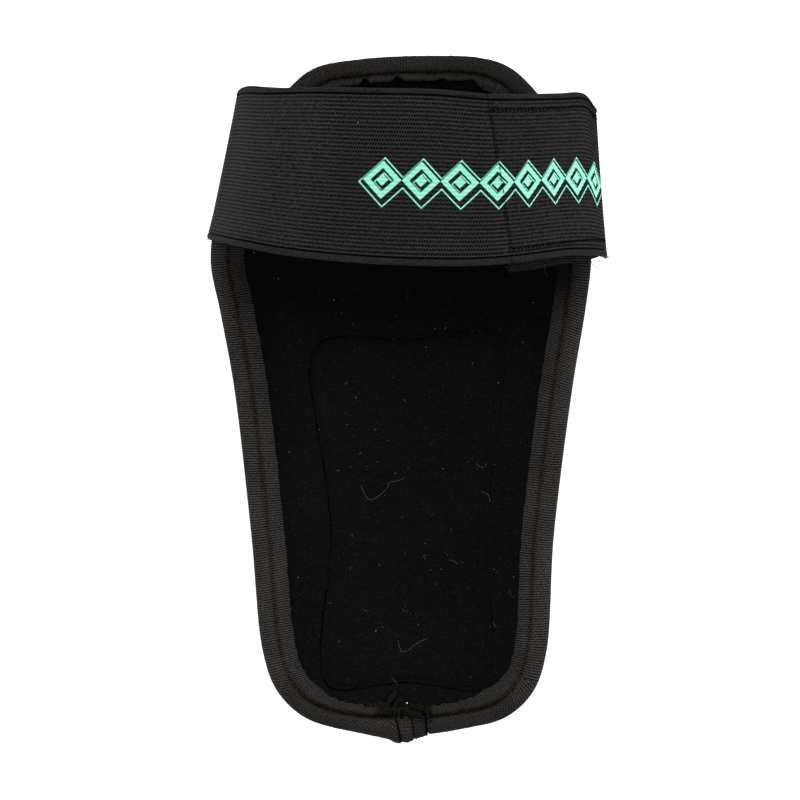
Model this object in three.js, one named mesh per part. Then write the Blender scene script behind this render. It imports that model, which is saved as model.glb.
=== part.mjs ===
// A knee guard: a foam pad dished to the leg, lined inside, bound with tape all round,
// and held on by one wide elastic strap that closes with a hook patch.
// Millimetres, +Z up. The guard lies on the front of its pad with the hollow up: X runs
// across it, +Y towards the crown, where the strap is, and Z = 0 is the surface below it.

import * as THREE from "three";
import { mergeVertices } from "three/addons/utils/BufferGeometryUtils.js";

// Overall sizes

const guardLength = 248.5; // from the join at the toe to the crown, over the binding
const guardWidth = 137.8; // over the binding, at the widest place
const clearance = 0.3; // between pieces that lie on each other

// Pad and lining

const padThickness = 8;
const edgeThickness = 4; // of the foam, where the tape squeezes it
const edgeTaper = 13; // from there to its full thickness
const liningThickness = 1;
const wingAngleLeft = 36; // degrees, the slope of the pad at its left edge
const wingAngleRight = 54; // the strap pulls this side up further
const wingPower = 2.3; // how late the dish turns up towards its sides
const wingToeWidth = 102; // the width that the toe's wings turn up in
const crownLift = 34; // how far the crown curls up towards the leg
const crownBend = 104; // the length that takes the curl
const crownPower = 2.3;
const toeLift = 14;
const toeBend = 59;
const toePower = 2.5;
const panelLength = 130; // the quilted panel, inside its seam
const panelWidth = 72;
const panelFromToe = 16.2; // from the toe's edge to the panel's seam
const seamWidth = 1.6; // half the width of the furrow that the seam pulls in
const seamDepth = 0.8;
const panelPuff = 0.6; // how far the panel swells inside
const frontPuff = 2; // and on the front
const restFlat = 2.3; // how far the front is pressed flat where it lies

// Binding

const bindingThickness = 1;
const bindingInside = 7.4; // how far the tape reaches in over the lining
const bindingOutside = 6; // and over the front
const stitchInside = 0.5; // from the edge line to the stitching
const stitchDent = 0.45; // how deep the stitching pulls the tape in
const tapePuff = 0.2; // how far the tape stands up inside the stitching
const gatherDepth = 1.1; // how far the tape's inner edge wanders along the crown
const gatherCount = 7; // its waves between one side of the crown and the other
const gatherStretch = 25; // the length next to the crown that is gathered
const joinThickness = 1.1; // the folded end of the tape, at the toe
const joinWidth = 14;
const joinBulge = 0.8; // how far the fold puffs out past the tape
const joinInside = 4.5; // how far it reaches in over the lining's side of the tape

// Strap and hook patch

const strapWidth = 60;
const strapThickness = 1.5;
const strapHeight = 92; // of the middle of its arch above the ground
const strapLift = 5; // how much higher its crown side stands
const strapFromCrown = 39; // from the crown's edge to its middle, at the left turn
const strapDrop = 9.5; // how far its middle runs towards the toe
const strapLeanLeft = 11.8; // how far its crown side stands in from its toe side
const strapLeanRight = 4.9;
const strapSlack = 1.7; // between the patch and the binding, at the right turn
const strapUnder = 27; // how far each end reaches under the pad
const patchThickness = 1.4;
const patchMargin = 2; // from the strap's crown edge to the patch
const patchProud = 3.4; // how far its free corner hangs out past the strap
const patchTuck = 2; // how far in its toe edge runs where it turns under
const patchTuckFrom = 0.1; // shares of the patch between which it runs in
const patchTuckTo = 0.7;

// Smoothness

const stepsPerRow = 3; // around the outline, between two rows of its table
const stepsPerStation = 3; // along the strap, between two of its stations
const strapColumns = 4; // across the strap
const panelSteps = 160; // around the seam, where it is followed as a polygon
const seamHalvings = 24; // to find the seam on a line that crosses it
const slopeStep = 0.05; // the length over which a slope is taken
const shareStep = 0.004; // the same for the strap, as a share of it

// Half the guard's width at places along its length, from the toe to the crown.
// along is a share of the bound length, left and right are shares of half the width.
const outlineRows = [
  { along: 0.012, left: 0.395, right: 0.33 },
  { along: 0.031, left: 0.56, right: 0.527 },
  { along: 0.069, left: 0.69, right: 0.662 },
  { along: 0.126, left: 0.762, right: 0.731 },
  { along: 0.3, left: 0.824, right: 0.773 },
  { along: 0.516, left: 0.912, right: 0.866 },
  { along: 0.63, left: 0.984, right: 0.93 },
  { along: 0.7, left: 1.03, right: 0.957 },
  { along: 0.755, left: 1.01, right: 0.95 },
  { along: 0.82, left: 0.93, right: 0.905 },
  { along: 0.89, left: 0.795, right: 0.8 },
  { along: 0.95, left: 0.625, right: 0.652 },
  { along: 0.981, left: 0.485, right: 0.527 },
  { along: 0.995, left: 0.245, right: 0.385 },
];
const toeShift = -0.01; // where the outline crosses the toe, as a share of half the width
const crownShift = 0.118;
const widestShare = 0.7;

// The panel's seam in the same way, as shares of the panel's length and half its width.
const panelRows = [
  { along: 0, left: 0.72, right: 0.7 },
  { along: 0.03, left: 0.85, right: 0.82 },
  { along: 0.13, left: 0.88, right: 0.88 },
  { along: 0.31, left: 0.81, right: 0.83 },
  { along: 0.434, left: 0.775, right: 0.811 },
  { along: 0.588, left: 0.828, right: 0.861 },
  { along: 0.756, left: 0.925, right: 0.945 },
  { along: 0.92, left: 0.99, right: 1 },
  { along: 0.98, left: 0.89, right: 0.98 },
  { along: 1, left: 0.7, right: 0.8 },
];
const panelToeShare = 0.017; // the seam bows in a little between its corners
const panelCrownShare = 0.992;

// The strap's arch, from its left turn to its right one. run is the share of the way across,
// rise of the height of the arch, drop of strapDrop, and width of the strap's width.
const archRows = [
  { run: 0, rise: 0, drop: 0, width: 0.87 },
  { run: 0.03, rise: 0.36, drop: 0.3, width: 0.857 },
  { run: 0.1, rise: 0.71, drop: 0.67, width: 0.848 },
  { run: 0.22, rise: 0.91, drop: 0.83, width: 0.925 },
  { run: 0.38, rise: 0.985, drop: 0.95, width: 0.975 },
  { run: 0.55, rise: 1, drop: 1.04, width: 0.985 },
  { run: 0.69, rise: 0.965, drop: 1.09, width: 0.958 },
  { run: 0.79, rise: 0.77, drop: 0.94, width: 0.94 },
  { run: 0.89, rise: 0.49, drop: 0.74, width: 0.917 },
  { run: 0.965, rise: 0.21, drop: 0.76, width: 0.885 },
  { run: 1, rise: 0, drop: 0.84, width: 0.845 },
];
const underShares = [1, 0.75, 0.5, 0.25, 0]; // places along an end, from its tip to the turn
const patchStartCrown = 0.687; // where the patch begins along the arch, at its crown edge
const patchStartToe = 0.75; // and at its toe edge

// Sizes that follow

const halfWidth = guardWidth / 2;
const stack = padThickness + clearance + liningThickness; // pad and lining together
const halfStack = stack / 2;
const halfEdge = halfStack - (padThickness - edgeThickness) / 2; // the same inside the tape
const tapeInner = halfEdge + clearance; // the tape's two faces, from the edge line
const tapeOuter = tapeInner + bindingThickness;
const joinProud = clearance + joinThickness + joinBulge;
const toeY = -guardLength / 2 + joinProud;
const crownY = guardLength / 2;
const boundLength = crownY - toeY;
const restHeight = halfStack + frontPuff - restFlat; // of the middle of the stack

// The dish: the middle of the stack of pad and lining, as a height over X and Y

function softClamp(value, low, high, give) {
  if (value < low) return low + (value - low) * give;
  if (value > high) return high + (value - high) * give;
  return value;
}

function curl(distance, bend, lift, power) {
  return distance > 0 ? lift * (distance / bend) ** power : 0;
}

// Half the width that the wings turn up in: it narrows steadily from the widest place, which
// is that share of the length from the toe, to the toe.
function wingReach(y) {
  const share = THREE.MathUtils.clamp((y - toeY) / (boundLength * widestShare), 0, 1);
  return THREE.MathUtils.lerp(wingToeWidth / 2, halfWidth, share);
}

function dishHeight(x, y) {
  const reach = wingReach(y);
  const angle = x < 0 ? wingAngleLeft : wingAngleRight;
  const rise = (Math.tan(THREE.MathUtils.degToRad(angle)) * reach) / wingPower;
  const wing = rise * (Math.abs(x) / reach) ** wingPower;
  const crown = curl(y - (crownY - crownBend), crownBend, crownLift, crownPower);
  const toe = curl(toeY + toeBend - y, toeBend, toeLift, toePower);
  return restHeight + wing + crown + toe;
}

function dishNormal(x, y) {
  const slopeX = (dishHeight(x + slopeStep, y) - dishHeight(x - slopeStep, y)) / (2 * slopeStep);
  const slopeY = (dishHeight(x, y + slopeStep) - dishHeight(x, y - slopeStep)) / (2 * slopeStep);
  return new THREE.Vector3(-slopeX, -slopeY, 1).normalize();
}

// A point over the dish's X and Y, that far along its normal: + is the leg's side.
function dishPoint(x, y, offset) {
  const point = new THREE.Vector3(x, y, dishHeight(x, y));
  return point.addScaledVector(dishNormal(x, y), offset);
}

// Outlines in plan

function closedOutline(rows, toePoint, crownPoint, place) {
  const right = rows.map((row) => place(row, row.right));
  const left = rows.map((row) => place(row, -row.left)).reverse();
  return new THREE.CatmullRomCurve3([toePoint, ...right, crownPoint, ...left], true);
}

const outline = closedOutline(
  outlineRows,
  new THREE.Vector3(toeShift * halfWidth, toeY, 0),
  new THREE.Vector3(crownShift * halfWidth, crownY, 0),
  (row, share) => new THREE.Vector3(share * halfWidth, toeY + row.along * boundLength, 0),
);

const panelToeY = toeY + panelFromToe;
const panelOutline = closedOutline(
  panelRows,
  new THREE.Vector3(0, panelToeY + panelToeShare * panelLength, 0),
  new THREE.Vector3(0, panelToeY + panelCrownShare * panelLength, 0),
  (row, share) =>
    new THREE.Vector3((share * panelWidth) / 2, panelToeY + row.along * panelLength, 0),
);
const panelPolygon = panelOutline.getPoints(panelSteps);

function insidePanel(x, y) {
  let inside = false;
  panelPolygon.forEach((a, i) => {
    const b = panelPolygon[(i + 1) % panelPolygon.length];
    const crosses = a.y > y !== b.y > y;
    if (crosses && x < a.x + ((y - a.y) / (b.y - a.y)) * (b.x - a.x)) inside = !inside;
  });
  return inside;
}

// The edge line, where the stack's middle ends: a nose of tape stands round it. Each step
// has its place, the way out of the pad in plan and on the dish, and the dish's normal.
const edgeSteps = (outlineRows.length + 1) * 2 * stepsPerRow;
const edge = Array.from({ length: edgeSteps }, (_, i) => {
  const share = i / edgeSteps;
  const along = outline.getTangent(share);
  const out = new THREE.Vector3(along.y, -along.x, 0).normalize();
  const foot = outline.getPoint(share).addScaledVector(out, -tapeOuter);
  const normal = dishNormal(foot.x, foot.y);
  const outward = out.clone().addScaledVector(normal, -out.dot(normal)).normalize();
  return { x: foot.x, y: foot.y, out, outward, normal };
});

// How far the edge line stands from the middle at a place along the guard, on one side.
function edgeReach(y, side) {
  let reach = 0;
  edge.forEach((a, i) => {
    const b = edge[(i + 1) % edgeSteps];
    if (a.y > y === b.y > y) return;
    const x = a.x + ((y - a.y) / (b.y - a.y)) * (b.x - a.x);
    reach = Math.max(reach, x * side);
  });
  return reach;
}

const edgeLines = edge.map((step, i) => {
  const next = edge[(i + 1) % edgeSteps];
  return new THREE.Line3(
    new THREE.Vector3(step.x, step.y, 0),
    new THREE.Vector3(next.x, next.y, 0),
  );
});

function distanceToEdge(x, y) {
  const point = new THREE.Vector3(x, y, 0);
  const nearest = new THREE.Vector3();
  const distances = edgeLines.map((line) =>
    line.closestPointToPoint(point, true, nearest).distanceTo(point),
  );
  return Math.min(...distances);
}

// Solids from rows of points

// Each row of points is one ring of the surface, and with loop the last ring meets the first
// one. Each four points are split the short way.
function gridGeometry(rows, { loop }) {
  const count = rows[0].length;
  const points = rows.flat();
  const index = [];
  const lastRow = loop ? rows.length : rows.length - 1;
  for (let r = 0; r < lastRow; r++) {
    for (let i = 0; i < count; i++) {
      const a = r * count + i;
      const b = r * count + ((i + 1) % count);
      const c = ((r + 1) % rows.length) * count + i;
      const d = ((r + 1) % rows.length) * count + ((i + 1) % count);
      const direct = points[a].distanceTo(points[d]) < points[b].distanceTo(points[c]);
      index.push(...(direct ? [a, d, b, a, c, d] : [a, c, b, b, c, d]));
    }
  }
  const positions = points.flatMap((p) => [p.x, p.y, p.z]);
  const geometry = new THREE.BufferGeometry();
  geometry.setAttribute("position", new THREE.Float32BufferAttribute(positions, 3));
  geometry.setIndex(index);
  return geometry;
}

// The same surface with its equal points made one, and without the faces that this empties.
function closedGeometry(geometry) {
  const merged = mergeVertices(geometry, 1e-4);
  const old = merged.index.array;
  const kept = [];
  for (let i = 0; i < old.length; i += 3) {
    const [a, b, c] = [old[i], old[i + 1], old[i + 2]];
    if (a !== b && b !== c && c !== a) kept.push(a, b, c);
  }
  merged.setIndex(kept);
  merged.computeVertexNormals();
  return merged;
}

// A band with thickness: the rows of points are its middle, and the ends and sides are square.
function slabGeometry(rows, thickness) {
  const last = rows.length - 1;
  const across = rows[0].length - 1;
  const normals = rows.map((row, r) =>
    row.map((_, i) => {
      const alongBand = rows[Math.min(r + 1, last)][i].clone().sub(rows[Math.max(r - 1, 0)][i]);
      const acrossBand = row[Math.min(i + 1, across)].clone().sub(row[Math.max(i - 1, 0)]);
      return alongBand.cross(acrossBand).normalize();
    }),
  );
  const face = (r, side) =>
    rows[r].map((p, i) => p.clone().addScaledVector(normals[r][i], (side * thickness) / 2));
  return foldedGeometry(rows.map((_, r) => [...face(r, 1), ...face(r, -1).reverse()]));
}

// A row of closed sections with flat ends. Each section is a strip that comes back on itself,
// so its end is closed between its first half and its second one.
function foldedGeometry(sections) {
  const tip = (section) => {
    const last = section.length - 1;
    return section.map((p, i) => (i < section.length / 2 ? p : section[last - i]));
  };
  const closed = [tip(sections[0]), ...sections, tip(sections[sections.length - 1])];
  return closedGeometry(gridGeometry(closed, { loop: false }));
}

// Pad and lining: rings of points from the spine of the panel out to the edge and back

// The spine runs between these places, and what lies past them is drawn in to its ends.
const spineToe = panelToeY + panelLength * 0.15;
const spineCrown = panelToeY + panelLength * 0.8;
const spineGive = 0.1;
const hemLimit = 0.8; // how near the tape's inner edge may come to the seam, as a share
const dishShares = [0.35, 0.7]; // where the rings between them lie

// The line from each step of the edge to the panel's spine, and where it crosses the seam.
// hem is the ring just past the tape's inner edge, and rim the one just outside the furrow.
const rungs = edge.map((step, i) => {
  const opposite = edge[(edgeSteps - i) % edgeSteps];
  const y = softClamp((step.y + opposite.y) / 2, spineToe, spineCrown, spineGive);
  const from = new THREE.Vector2(step.x, step.y);
  const to = new THREE.Vector2(0, y);
  let [outside, inside] = [0, 1];
  for (let halving = 0; halving < seamHalvings; halving++) {
    const middle = (outside + inside) / 2;
    const p = from.clone().lerp(to, middle);
    if (insidePanel(p.x, p.y)) inside = middle;
    else outside = middle;
  }
  const length = from.distanceTo(to);
  const furrow = seamWidth / length;
  const rim = inside - furrow;
  const hem = Math.min((bindingInside + gatherDepth) / length, rim * hemLimit);
  return { from, to, hem, rim, seam: inside, furrow };
});

// Rings by their place on a rung, from the edge line to the spine. lining and front say how
// far each ring swells out of the pad, on the leg's side and on the front.
const faceRings = [
  { at: () => 0, lining: 0, front: 0 },
  { at: (rung) => rung.hem, lining: 0, front: 0 },
  ...dishShares.map((share) => ({
    at: (rung) => THREE.MathUtils.lerp(rung.hem, rung.rim, share),
    lining: 0,
    front: 0,
  })),
  { at: (rung) => rung.rim, lining: 0, front: 0 },
  { at: (rung) => rung.seam, lining: -seamDepth, front: -seamDepth },
  { at: (rung) => rung.seam + rung.furrow, lining: 0, front: 0 },
  { at: (rung) => (rung.seam + 1) / 2, lining: panelPuff, front: frontPuff },
  { at: () => 1, lining: panelPuff, front: frontPuff },
];

// Half the stack's thickness: the foam swells from the tape to its full thickness.
function halfThicknessAt(x, y) {
  const tapeEnd = bindingInside + gatherDepth;
  const share = THREE.MathUtils.smoothstep(distanceToEdge(x, y), tapeEnd, tapeEnd + edgeTaper);
  return THREE.MathUtils.lerp(halfEdge, halfStack, share);
}

// A ring on the leg's side, that deep below the lining's face.
function innerRing(ring, depth) {
  return rungs.map((rung) => {
    const { x, y } = rung.from.clone().lerp(rung.to, ring.at(rung));
    return dishPoint(x, y, halfThicknessAt(x, y) + ring.lining - depth);
  });
}

// The front lies flat on the ground where the dish would reach below it.
function frontRing(ring) {
  return rungs.map((rung) => {
    const { x, y } = rung.from.clone().lerp(rung.to, ring.at(rung));
    const point = dishPoint(x, y, -halfThicknessAt(x, y) - ring.front);
    point.z = Math.max(point.z, 0);
    return point;
  });
}

function padGeometry() {
  const top = liningThickness + clearance; // below the lining's face
  const middle = -top / 2;
  const halfThickness = edgeThickness / 2;
  const nose = [60, 20, -20, -60].map((degrees) =>
    edge.map((step) => {
      const turn = THREE.MathUtils.degToRad(degrees);
      return new THREE.Vector3(step.x, step.y, dishHeight(step.x, step.y))
        .addScaledVector(step.outward, halfThickness * Math.cos(turn))
        .addScaledVector(step.normal, middle + halfThickness * Math.sin(turn));
    }),
  );
  const inner = faceRings.map((ring) => innerRing(ring, top)).reverse();
  const front = faceRings.map(frontRing);
  return closedGeometry(gridGeometry([...inner, ...nose, ...front], { loop: false }));
}

function liningGeometry() {
  const face = faceRings.map((ring) => innerRing(ring, 0)).reverse();
  const back = faceRings.map((ring) => innerRing(ring, liningThickness));
  return closedGeometry(gridGeometry([...face, ...back], { loop: false }));
}

// Binding: a tape that is folded over the edge, as one section at each step of the edge

// A point of the tape's section. reach is how far in from the edge line it lies, along the
// dish, and offset how far it stands off the middle of the stack.
function tapeLeg(step, reach, offset) {
  const level = Math.hypot(step.outward.x, step.outward.y);
  const x = step.x - step.out.x * reach * level;
  const y = step.y - step.out.y * reach * level;
  return dishPoint(x, y, offset);
}

function tapeNose(step, degrees, radius) {
  const turn = THREE.MathUtils.degToRad(degrees);
  return new THREE.Vector3(step.x, step.y, dishHeight(step.x, step.y))
    .addScaledVector(step.outward, radius * Math.cos(turn))
    .addScaledVector(step.normal, radius * Math.sin(turn));
}

// The tape's inner edge is gathered round the crown, so it wanders in and out there.
function gather(step) {
  const crownShare = THREE.MathUtils.smoothstep(step.y, crownY - gatherStretch, crownY);
  const wave = Math.sin((step.x / halfWidth) * Math.PI * gatherCount);
  return Math.min(crownShare * 2, 1) * gatherDepth * wave;
}

function bindingSection(step) {
  const inside = bindingInside + gather(step);
  return [
    tapeLeg(step, inside, tapeOuter),
    tapeLeg(step, inside / 2, tapeOuter + tapePuff),
    tapeLeg(step, stitchInside, tapeOuter - stitchDent),
    tapeNose(step, 60, tapeOuter),
    tapeNose(step, 20, tapeOuter),
    tapeNose(step, -20, tapeOuter),
    tapeNose(step, -60, tapeOuter),
    tapeLeg(step, 0, -tapeOuter),
    tapeLeg(step, bindingOutside, -tapeOuter),
    tapeLeg(step, bindingOutside, -tapeInner),
    tapeNose(step, -90, tapeInner),
    tapeNose(step, -60, tapeInner),
    tapeNose(step, -20, tapeInner),
    tapeNose(step, 20, tapeInner),
    tapeNose(step, 60, tapeInner),
    tapeNose(step, 90, tapeInner),
    tapeLeg(step, inside, tapeInner),
  ].reverse();
}

function bindingGeometry() {
  const sections = edge.map(bindingSection);
  return closedGeometry(gridGeometry(sections, { loop: true }));
}

// The join: the tape's end, folded across the toe over the rest of the tape

const joinRows = [
  { across: -0.5, bulge: 0 },
  { across: -0.1, bulge: 1 },
  { across: 0.2, bulge: 0.6 },
  { across: 0.5, bulge: 0 },
];

function joinStep(across) {
  const foot = edge[0];
  const y = foot.y;
  const x = foot.x + across * joinWidth;
  const normal = dishNormal(x, y);
  const out = foot.out;
  const outward = out.clone().addScaledVector(normal, -out.dot(normal)).normalize();
  return { x, y, out, outward, normal };
}

function joinSection({ across, bulge }) {
  const step = joinStep(across);
  const under = tapeOuter + clearance;
  const over = under + joinThickness;
  const proud = joinBulge * bulge;
  return [
    tapeLeg(step, joinInside, over),
    tapeNose(step, 90, over),
    tapeNose(step, 55, over + proud / 2),
    tapeNose(step, 20, over + proud),
    tapeNose(step, -20, over + proud),
    tapeNose(step, -55, over + proud / 2),
    tapeNose(step, -90, over),
    tapeLeg(step, bindingOutside, -over),
    tapeLeg(step, bindingOutside, -under),
    tapeNose(step, -90, under),
    tapeNose(step, -60, under),
    tapeNose(step, -20, under),
    tapeNose(step, 20, under),
    tapeNose(step, 60, under),
    tapeNose(step, 90, under),
    tapeLeg(step, joinInside, under),
  ].reverse();
}

// Strap: a ruled band from its toe edge, at side 0, to its crown edge, at side 1

const foldRadius = tapeOuter + clearance + strapThickness / 2;
const patchLayer = patchThickness + clearance;
const strapMiddleY = crownY - strapFromCrown;

// How far the strap's middle stands off the dish below the pad: over the tape near the edge
// and beyond it, and on the pad's own front elsewhere.
function standOff(x, y) {
  const outside = Math.abs(x) > edgeReach(y, Math.sign(x));
  const near = outside ? 0 : distanceToEdge(x, y);
  const share = THREE.MathUtils.smoothstep(near, 0, bindingOutside);
  const onFront = halfStack + clearance + strapThickness / 2;
  return foldRadius + (onFront - foldRadius) * share;
}

function strapY(row, side) {
  const middle = strapMiddleY - strapDrop * row.drop;
  return middle + (side - 0.5) * strapWidth * row.width;
}

// Where the strap turns round the pad's edge: the middle of its fold and the fold's radius.
function strapTurn(sign, side) {
  const left = sign < 0;
  const row = left ? archRows[0] : archRows[archRows.length - 1];
  const y = strapY(row, side);
  const slack = left ? 0 : strapSlack;
  const lean = left ? strapLeanLeft : strapLeanRight;
  const straight = edgeReach(strapY(row, 0), sign) + slack - lean * side;
  const x = sign * Math.max(straight, edgeReach(y, sign));
  return { x, y, z: dishHeight(x, y), radius: foldRadius + (left ? 0 : patchLayer) };
}

function strapEnd(sign, side) {
  const turn = strapTurn(sign, side);
  const extra = sign < 0 ? 0 : patchLayer;
  const under = underShares.map((share) => {
    const x = turn.x - sign * strapUnder * share;
    return dishPoint(x, turn.y, -standOff(x, turn.y) - extra);
  });
  const down = dishNormal(turn.x, turn.y).negate();
  const halfway = down.add(new THREE.Vector3(sign, 0, 0)).normalize();
  const fold = new THREE.Vector3(turn.x, turn.y, turn.z);
  return [...under, fold.addScaledVector(halfway, turn.radius)];
}

function strapArch(side) {
  const [left, right] = [strapTurn(-1, side), strapTurn(1, side)];
  const top = strapHeight + strapLift * (side - 0.5);
  const from = left.x - left.radius;
  const to = right.x + right.radius;
  return archRows.map((row) => {
    const foot = row.run < 0.5 ? left.z : right.z;
    const x = from + (to - from) * row.run;
    return new THREE.Vector3(x, strapY(row, side), foot + (top - foot) * row.rise);
  });
}

function strapPath(side) {
  const stations = [...strapEnd(-1, side), ...strapArch(side), ...strapEnd(1, side).reverse()];
  return new THREE.CatmullRomCurve3(stations);
}

const stationCount = underShares.length * 2 + 2 + archRows.length;
const strapSteps = (stationCount - 1) * stepsPerStation;

// The share of the strap's path at a place along the arch.
function pathShare(run) {
  const next = archRows.findIndex((row) => row.run > run);
  const [a, b] = [archRows[next - 1], archRows[next]];
  const station = underShares.length + 1 + next - 1 + (run - a.run) / (b.run - a.run);
  return station / (stationCount - 1);
}

function strapGeometry() {
  const sides = Array.from({ length: strapColumns + 1 }, (_, i) => i / strapColumns);
  const paths = sides.map(strapPath);
  const rows = Array.from({ length: strapSteps + 1 }, (_, i) =>
    paths.map((path) => path.getPoint(i / strapSteps)),
  );
  return slabGeometry(rows, strapThickness);
}

// The hook patch lies on the leg's side of the strap, from the arch to the strap's right end.
function patchGeometry() {
  const depth = strapThickness / 2 + clearance + patchThickness / 2;
  const steps = Math.round(strapSteps * (1 - pathShare(patchStartCrown)));
  const rows = Array.from({ length: steps + 1 }, (_, i) => {
    const along = i / steps;
    const tuck = THREE.MathUtils.smoothstep(along, patchTuckFrom, patchTuckTo);
    const toeSide = (tuck * patchTuck - (1 - tuck) * patchProud) / strapWidth;
    const crownSide = 1 - patchMargin / strapWidth;
    return Array.from({ length: strapColumns + 1 }, (_, column) => {
      const across = column / strapColumns;
      const side = toeSide + (crownSide - toeSide) * across;
      const start = patchStartToe + (patchStartCrown - patchStartToe) * across;
      const share = pathShare(start) + (1 - pathShare(start)) * along;
      return leggedPoint(side, share, depth);
    });
  });
  return slabGeometry(rows, patchThickness);
}

// A point that far under the strap, on the side of the leg.
function leggedPoint(side, share, depth) {
  const path = strapPath(side);
  const ahead = Math.min(share + shareStep, 1);
  const along = path.getPoint(ahead).sub(path.getPoint(share - shareStep));
  const across = strapPath(side + shareStep).getPoint(share).sub(path.getPoint(share));
  return path.getPoint(share).addScaledVector(along.cross(across).normalize(), -depth);
}

// The assembly

function cloth(color, roughness) {
  return new THREE.MeshStandardMaterial({ color, roughness, metalness: 0 });
}

function piece(name, geometry, material) {
  const mesh = new THREE.Mesh(geometry, material);
  mesh.name = name;
  return mesh;
}

const guard = new THREE.Group();
guard.add(
  piece("pad", padGeometry(), cloth(0x141414, 0.95)),
  piece("lining", liningGeometry(), cloth(0x0c0c0c, 1)),
  piece("binding", bindingGeometry(), cloth(0x322f2c, 0.85)),
  piece("binding_join", foldedGeometry(joinRows.map(joinSection)), cloth(0x2b2927, 0.85)),
  piece("strap", strapGeometry(), cloth(0x272726, 0.8)),
  piece("hook_patch", patchGeometry(), cloth(0x1b1b1c, 0.7)),
);

export default guard;
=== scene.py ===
# The looks of a knee guard: a padded, dished body with a brushed lining, bound with ribbed
# tape, and one wide elastic strap with a hook patch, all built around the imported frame.
# Metres, +Z up. The guard lies on its front with the hollow up, its crown towards +Y.

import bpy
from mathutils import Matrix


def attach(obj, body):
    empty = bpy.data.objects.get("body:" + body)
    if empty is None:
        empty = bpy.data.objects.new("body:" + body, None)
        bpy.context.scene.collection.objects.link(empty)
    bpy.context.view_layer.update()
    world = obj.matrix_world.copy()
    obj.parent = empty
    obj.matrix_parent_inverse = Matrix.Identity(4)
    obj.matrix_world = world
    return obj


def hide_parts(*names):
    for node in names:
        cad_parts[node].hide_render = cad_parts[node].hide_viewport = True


bl_info = {
    "name": "Knee guard",
    "version": (1, 0, 0),
    "blender": (4, 5, 0),
    "location": "3D View > Sidebar > Knee guard",
    "description": "Builds a bound, lined and strapped knee guard in its studio",
    "category": "Add Mesh",
}

import math

import bmesh
import bpy
import numpy as np

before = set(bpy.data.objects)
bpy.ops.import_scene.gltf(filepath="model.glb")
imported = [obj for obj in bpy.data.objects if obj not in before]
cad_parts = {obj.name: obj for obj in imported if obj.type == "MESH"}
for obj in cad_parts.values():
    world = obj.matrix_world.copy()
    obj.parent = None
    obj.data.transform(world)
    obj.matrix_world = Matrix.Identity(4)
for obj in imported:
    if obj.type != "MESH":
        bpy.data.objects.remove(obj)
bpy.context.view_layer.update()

MM = 0.001

# The body's own sizes, as its frame has them

GUARD_LENGTH = 248.5 * MM
GUARD_WIDTH = 137.8 * MM
CLEARANCE = 0.3 * MM
PAD_THICKNESS = 8 * MM
EDGE_THICKNESS = 4 * MM
EDGE_TAPER = 13 * MM
LINING_THICKNESS = 1 * MM
WING_ANGLE_LEFT = math.radians(36)
WING_ANGLE_RIGHT = math.radians(54)
WING_POWER = 2.3
WING_TOE_WIDTH = 102 * MM
CROWN_LIFT = 34 * MM
CROWN_BEND = 104 * MM
CROWN_POWER = 2.3
TOE_LIFT = 14 * MM
TOE_BEND = 59 * MM
TOE_POWER = 2.5
PANEL_LENGTH = 130 * MM
PANEL_WIDTH = 72 * MM
PANEL_FROM_TOE = 16.2 * MM
PANEL_PUFF = 0.6 * MM
FRONT_PUFF = 2 * MM
REST_FLAT = 2.3 * MM
BINDING_THICKNESS = 1 * MM
BINDING_INSIDE = 7.4 * MM
BINDING_OUTSIDE = 6 * MM
JOIN_THICKNESS = 1.1 * MM
JOIN_BULGE = 0.8 * MM
STRAP_WIDTH = 60 * MM
STRAP_THICKNESS = 1.5 * MM
STRAP_HEIGHT = 92 * MM
STRAP_LIFT = 5 * MM
STRAP_FROM_CROWN = 39 * MM
STRAP_DROP = 9.5 * MM
STRAP_LEAN_LEFT = 11.8 * MM
STRAP_LEAN_RIGHT = 4.9 * MM
STRAP_SLACK = 1.7 * MM
STRAP_UNDER = 27 * MM
PATCH_THICKNESS = 1.4 * MM
PATCH_MARGIN = 2 * MM
PATCH_PROUD = 3.4 * MM
PATCH_TUCK = 2 * MM

# Half the width along the length, from the toe: along, left and right are shares
OUTLINE_ROWS = [
    (0.012, 0.395, 0.33), (0.031, 0.56, 0.527), (0.069, 0.69, 0.662), (0.126, 0.762, 0.731),
    (0.3, 0.824, 0.773), (0.516, 0.912, 0.866), (0.63, 0.984, 0.93), (0.7, 1.03, 0.957),
    (0.755, 1.01, 0.95), (0.82, 0.93, 0.905), (0.89, 0.795, 0.8), (0.95, 0.625, 0.652),
    (0.981, 0.485, 0.527), (0.995, 0.245, 0.385),
]
TOE_SHIFT = -0.01
CROWN_SHIFT = 0.118
WIDEST_SHARE = 0.7

# The quilted panel's seam in the same way
PANEL_ROWS = [
    (0, 0.72, 0.7), (0.03, 0.85, 0.82), (0.13, 0.88, 0.88), (0.31, 0.81, 0.83),
    (0.434, 0.775, 0.811), (0.588, 0.828, 0.861), (0.756, 0.925, 0.945), (0.92, 0.99, 1),
    (0.98, 0.89, 0.98), (1, 0.7, 0.8),
]
PANEL_CORNER_RISE = 2.9 * MM  # how much higher its right corner at the crown lies
PANEL_TOE_SHARE = 0.017
PANEL_CROWN_SHARE = 0.992

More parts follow.
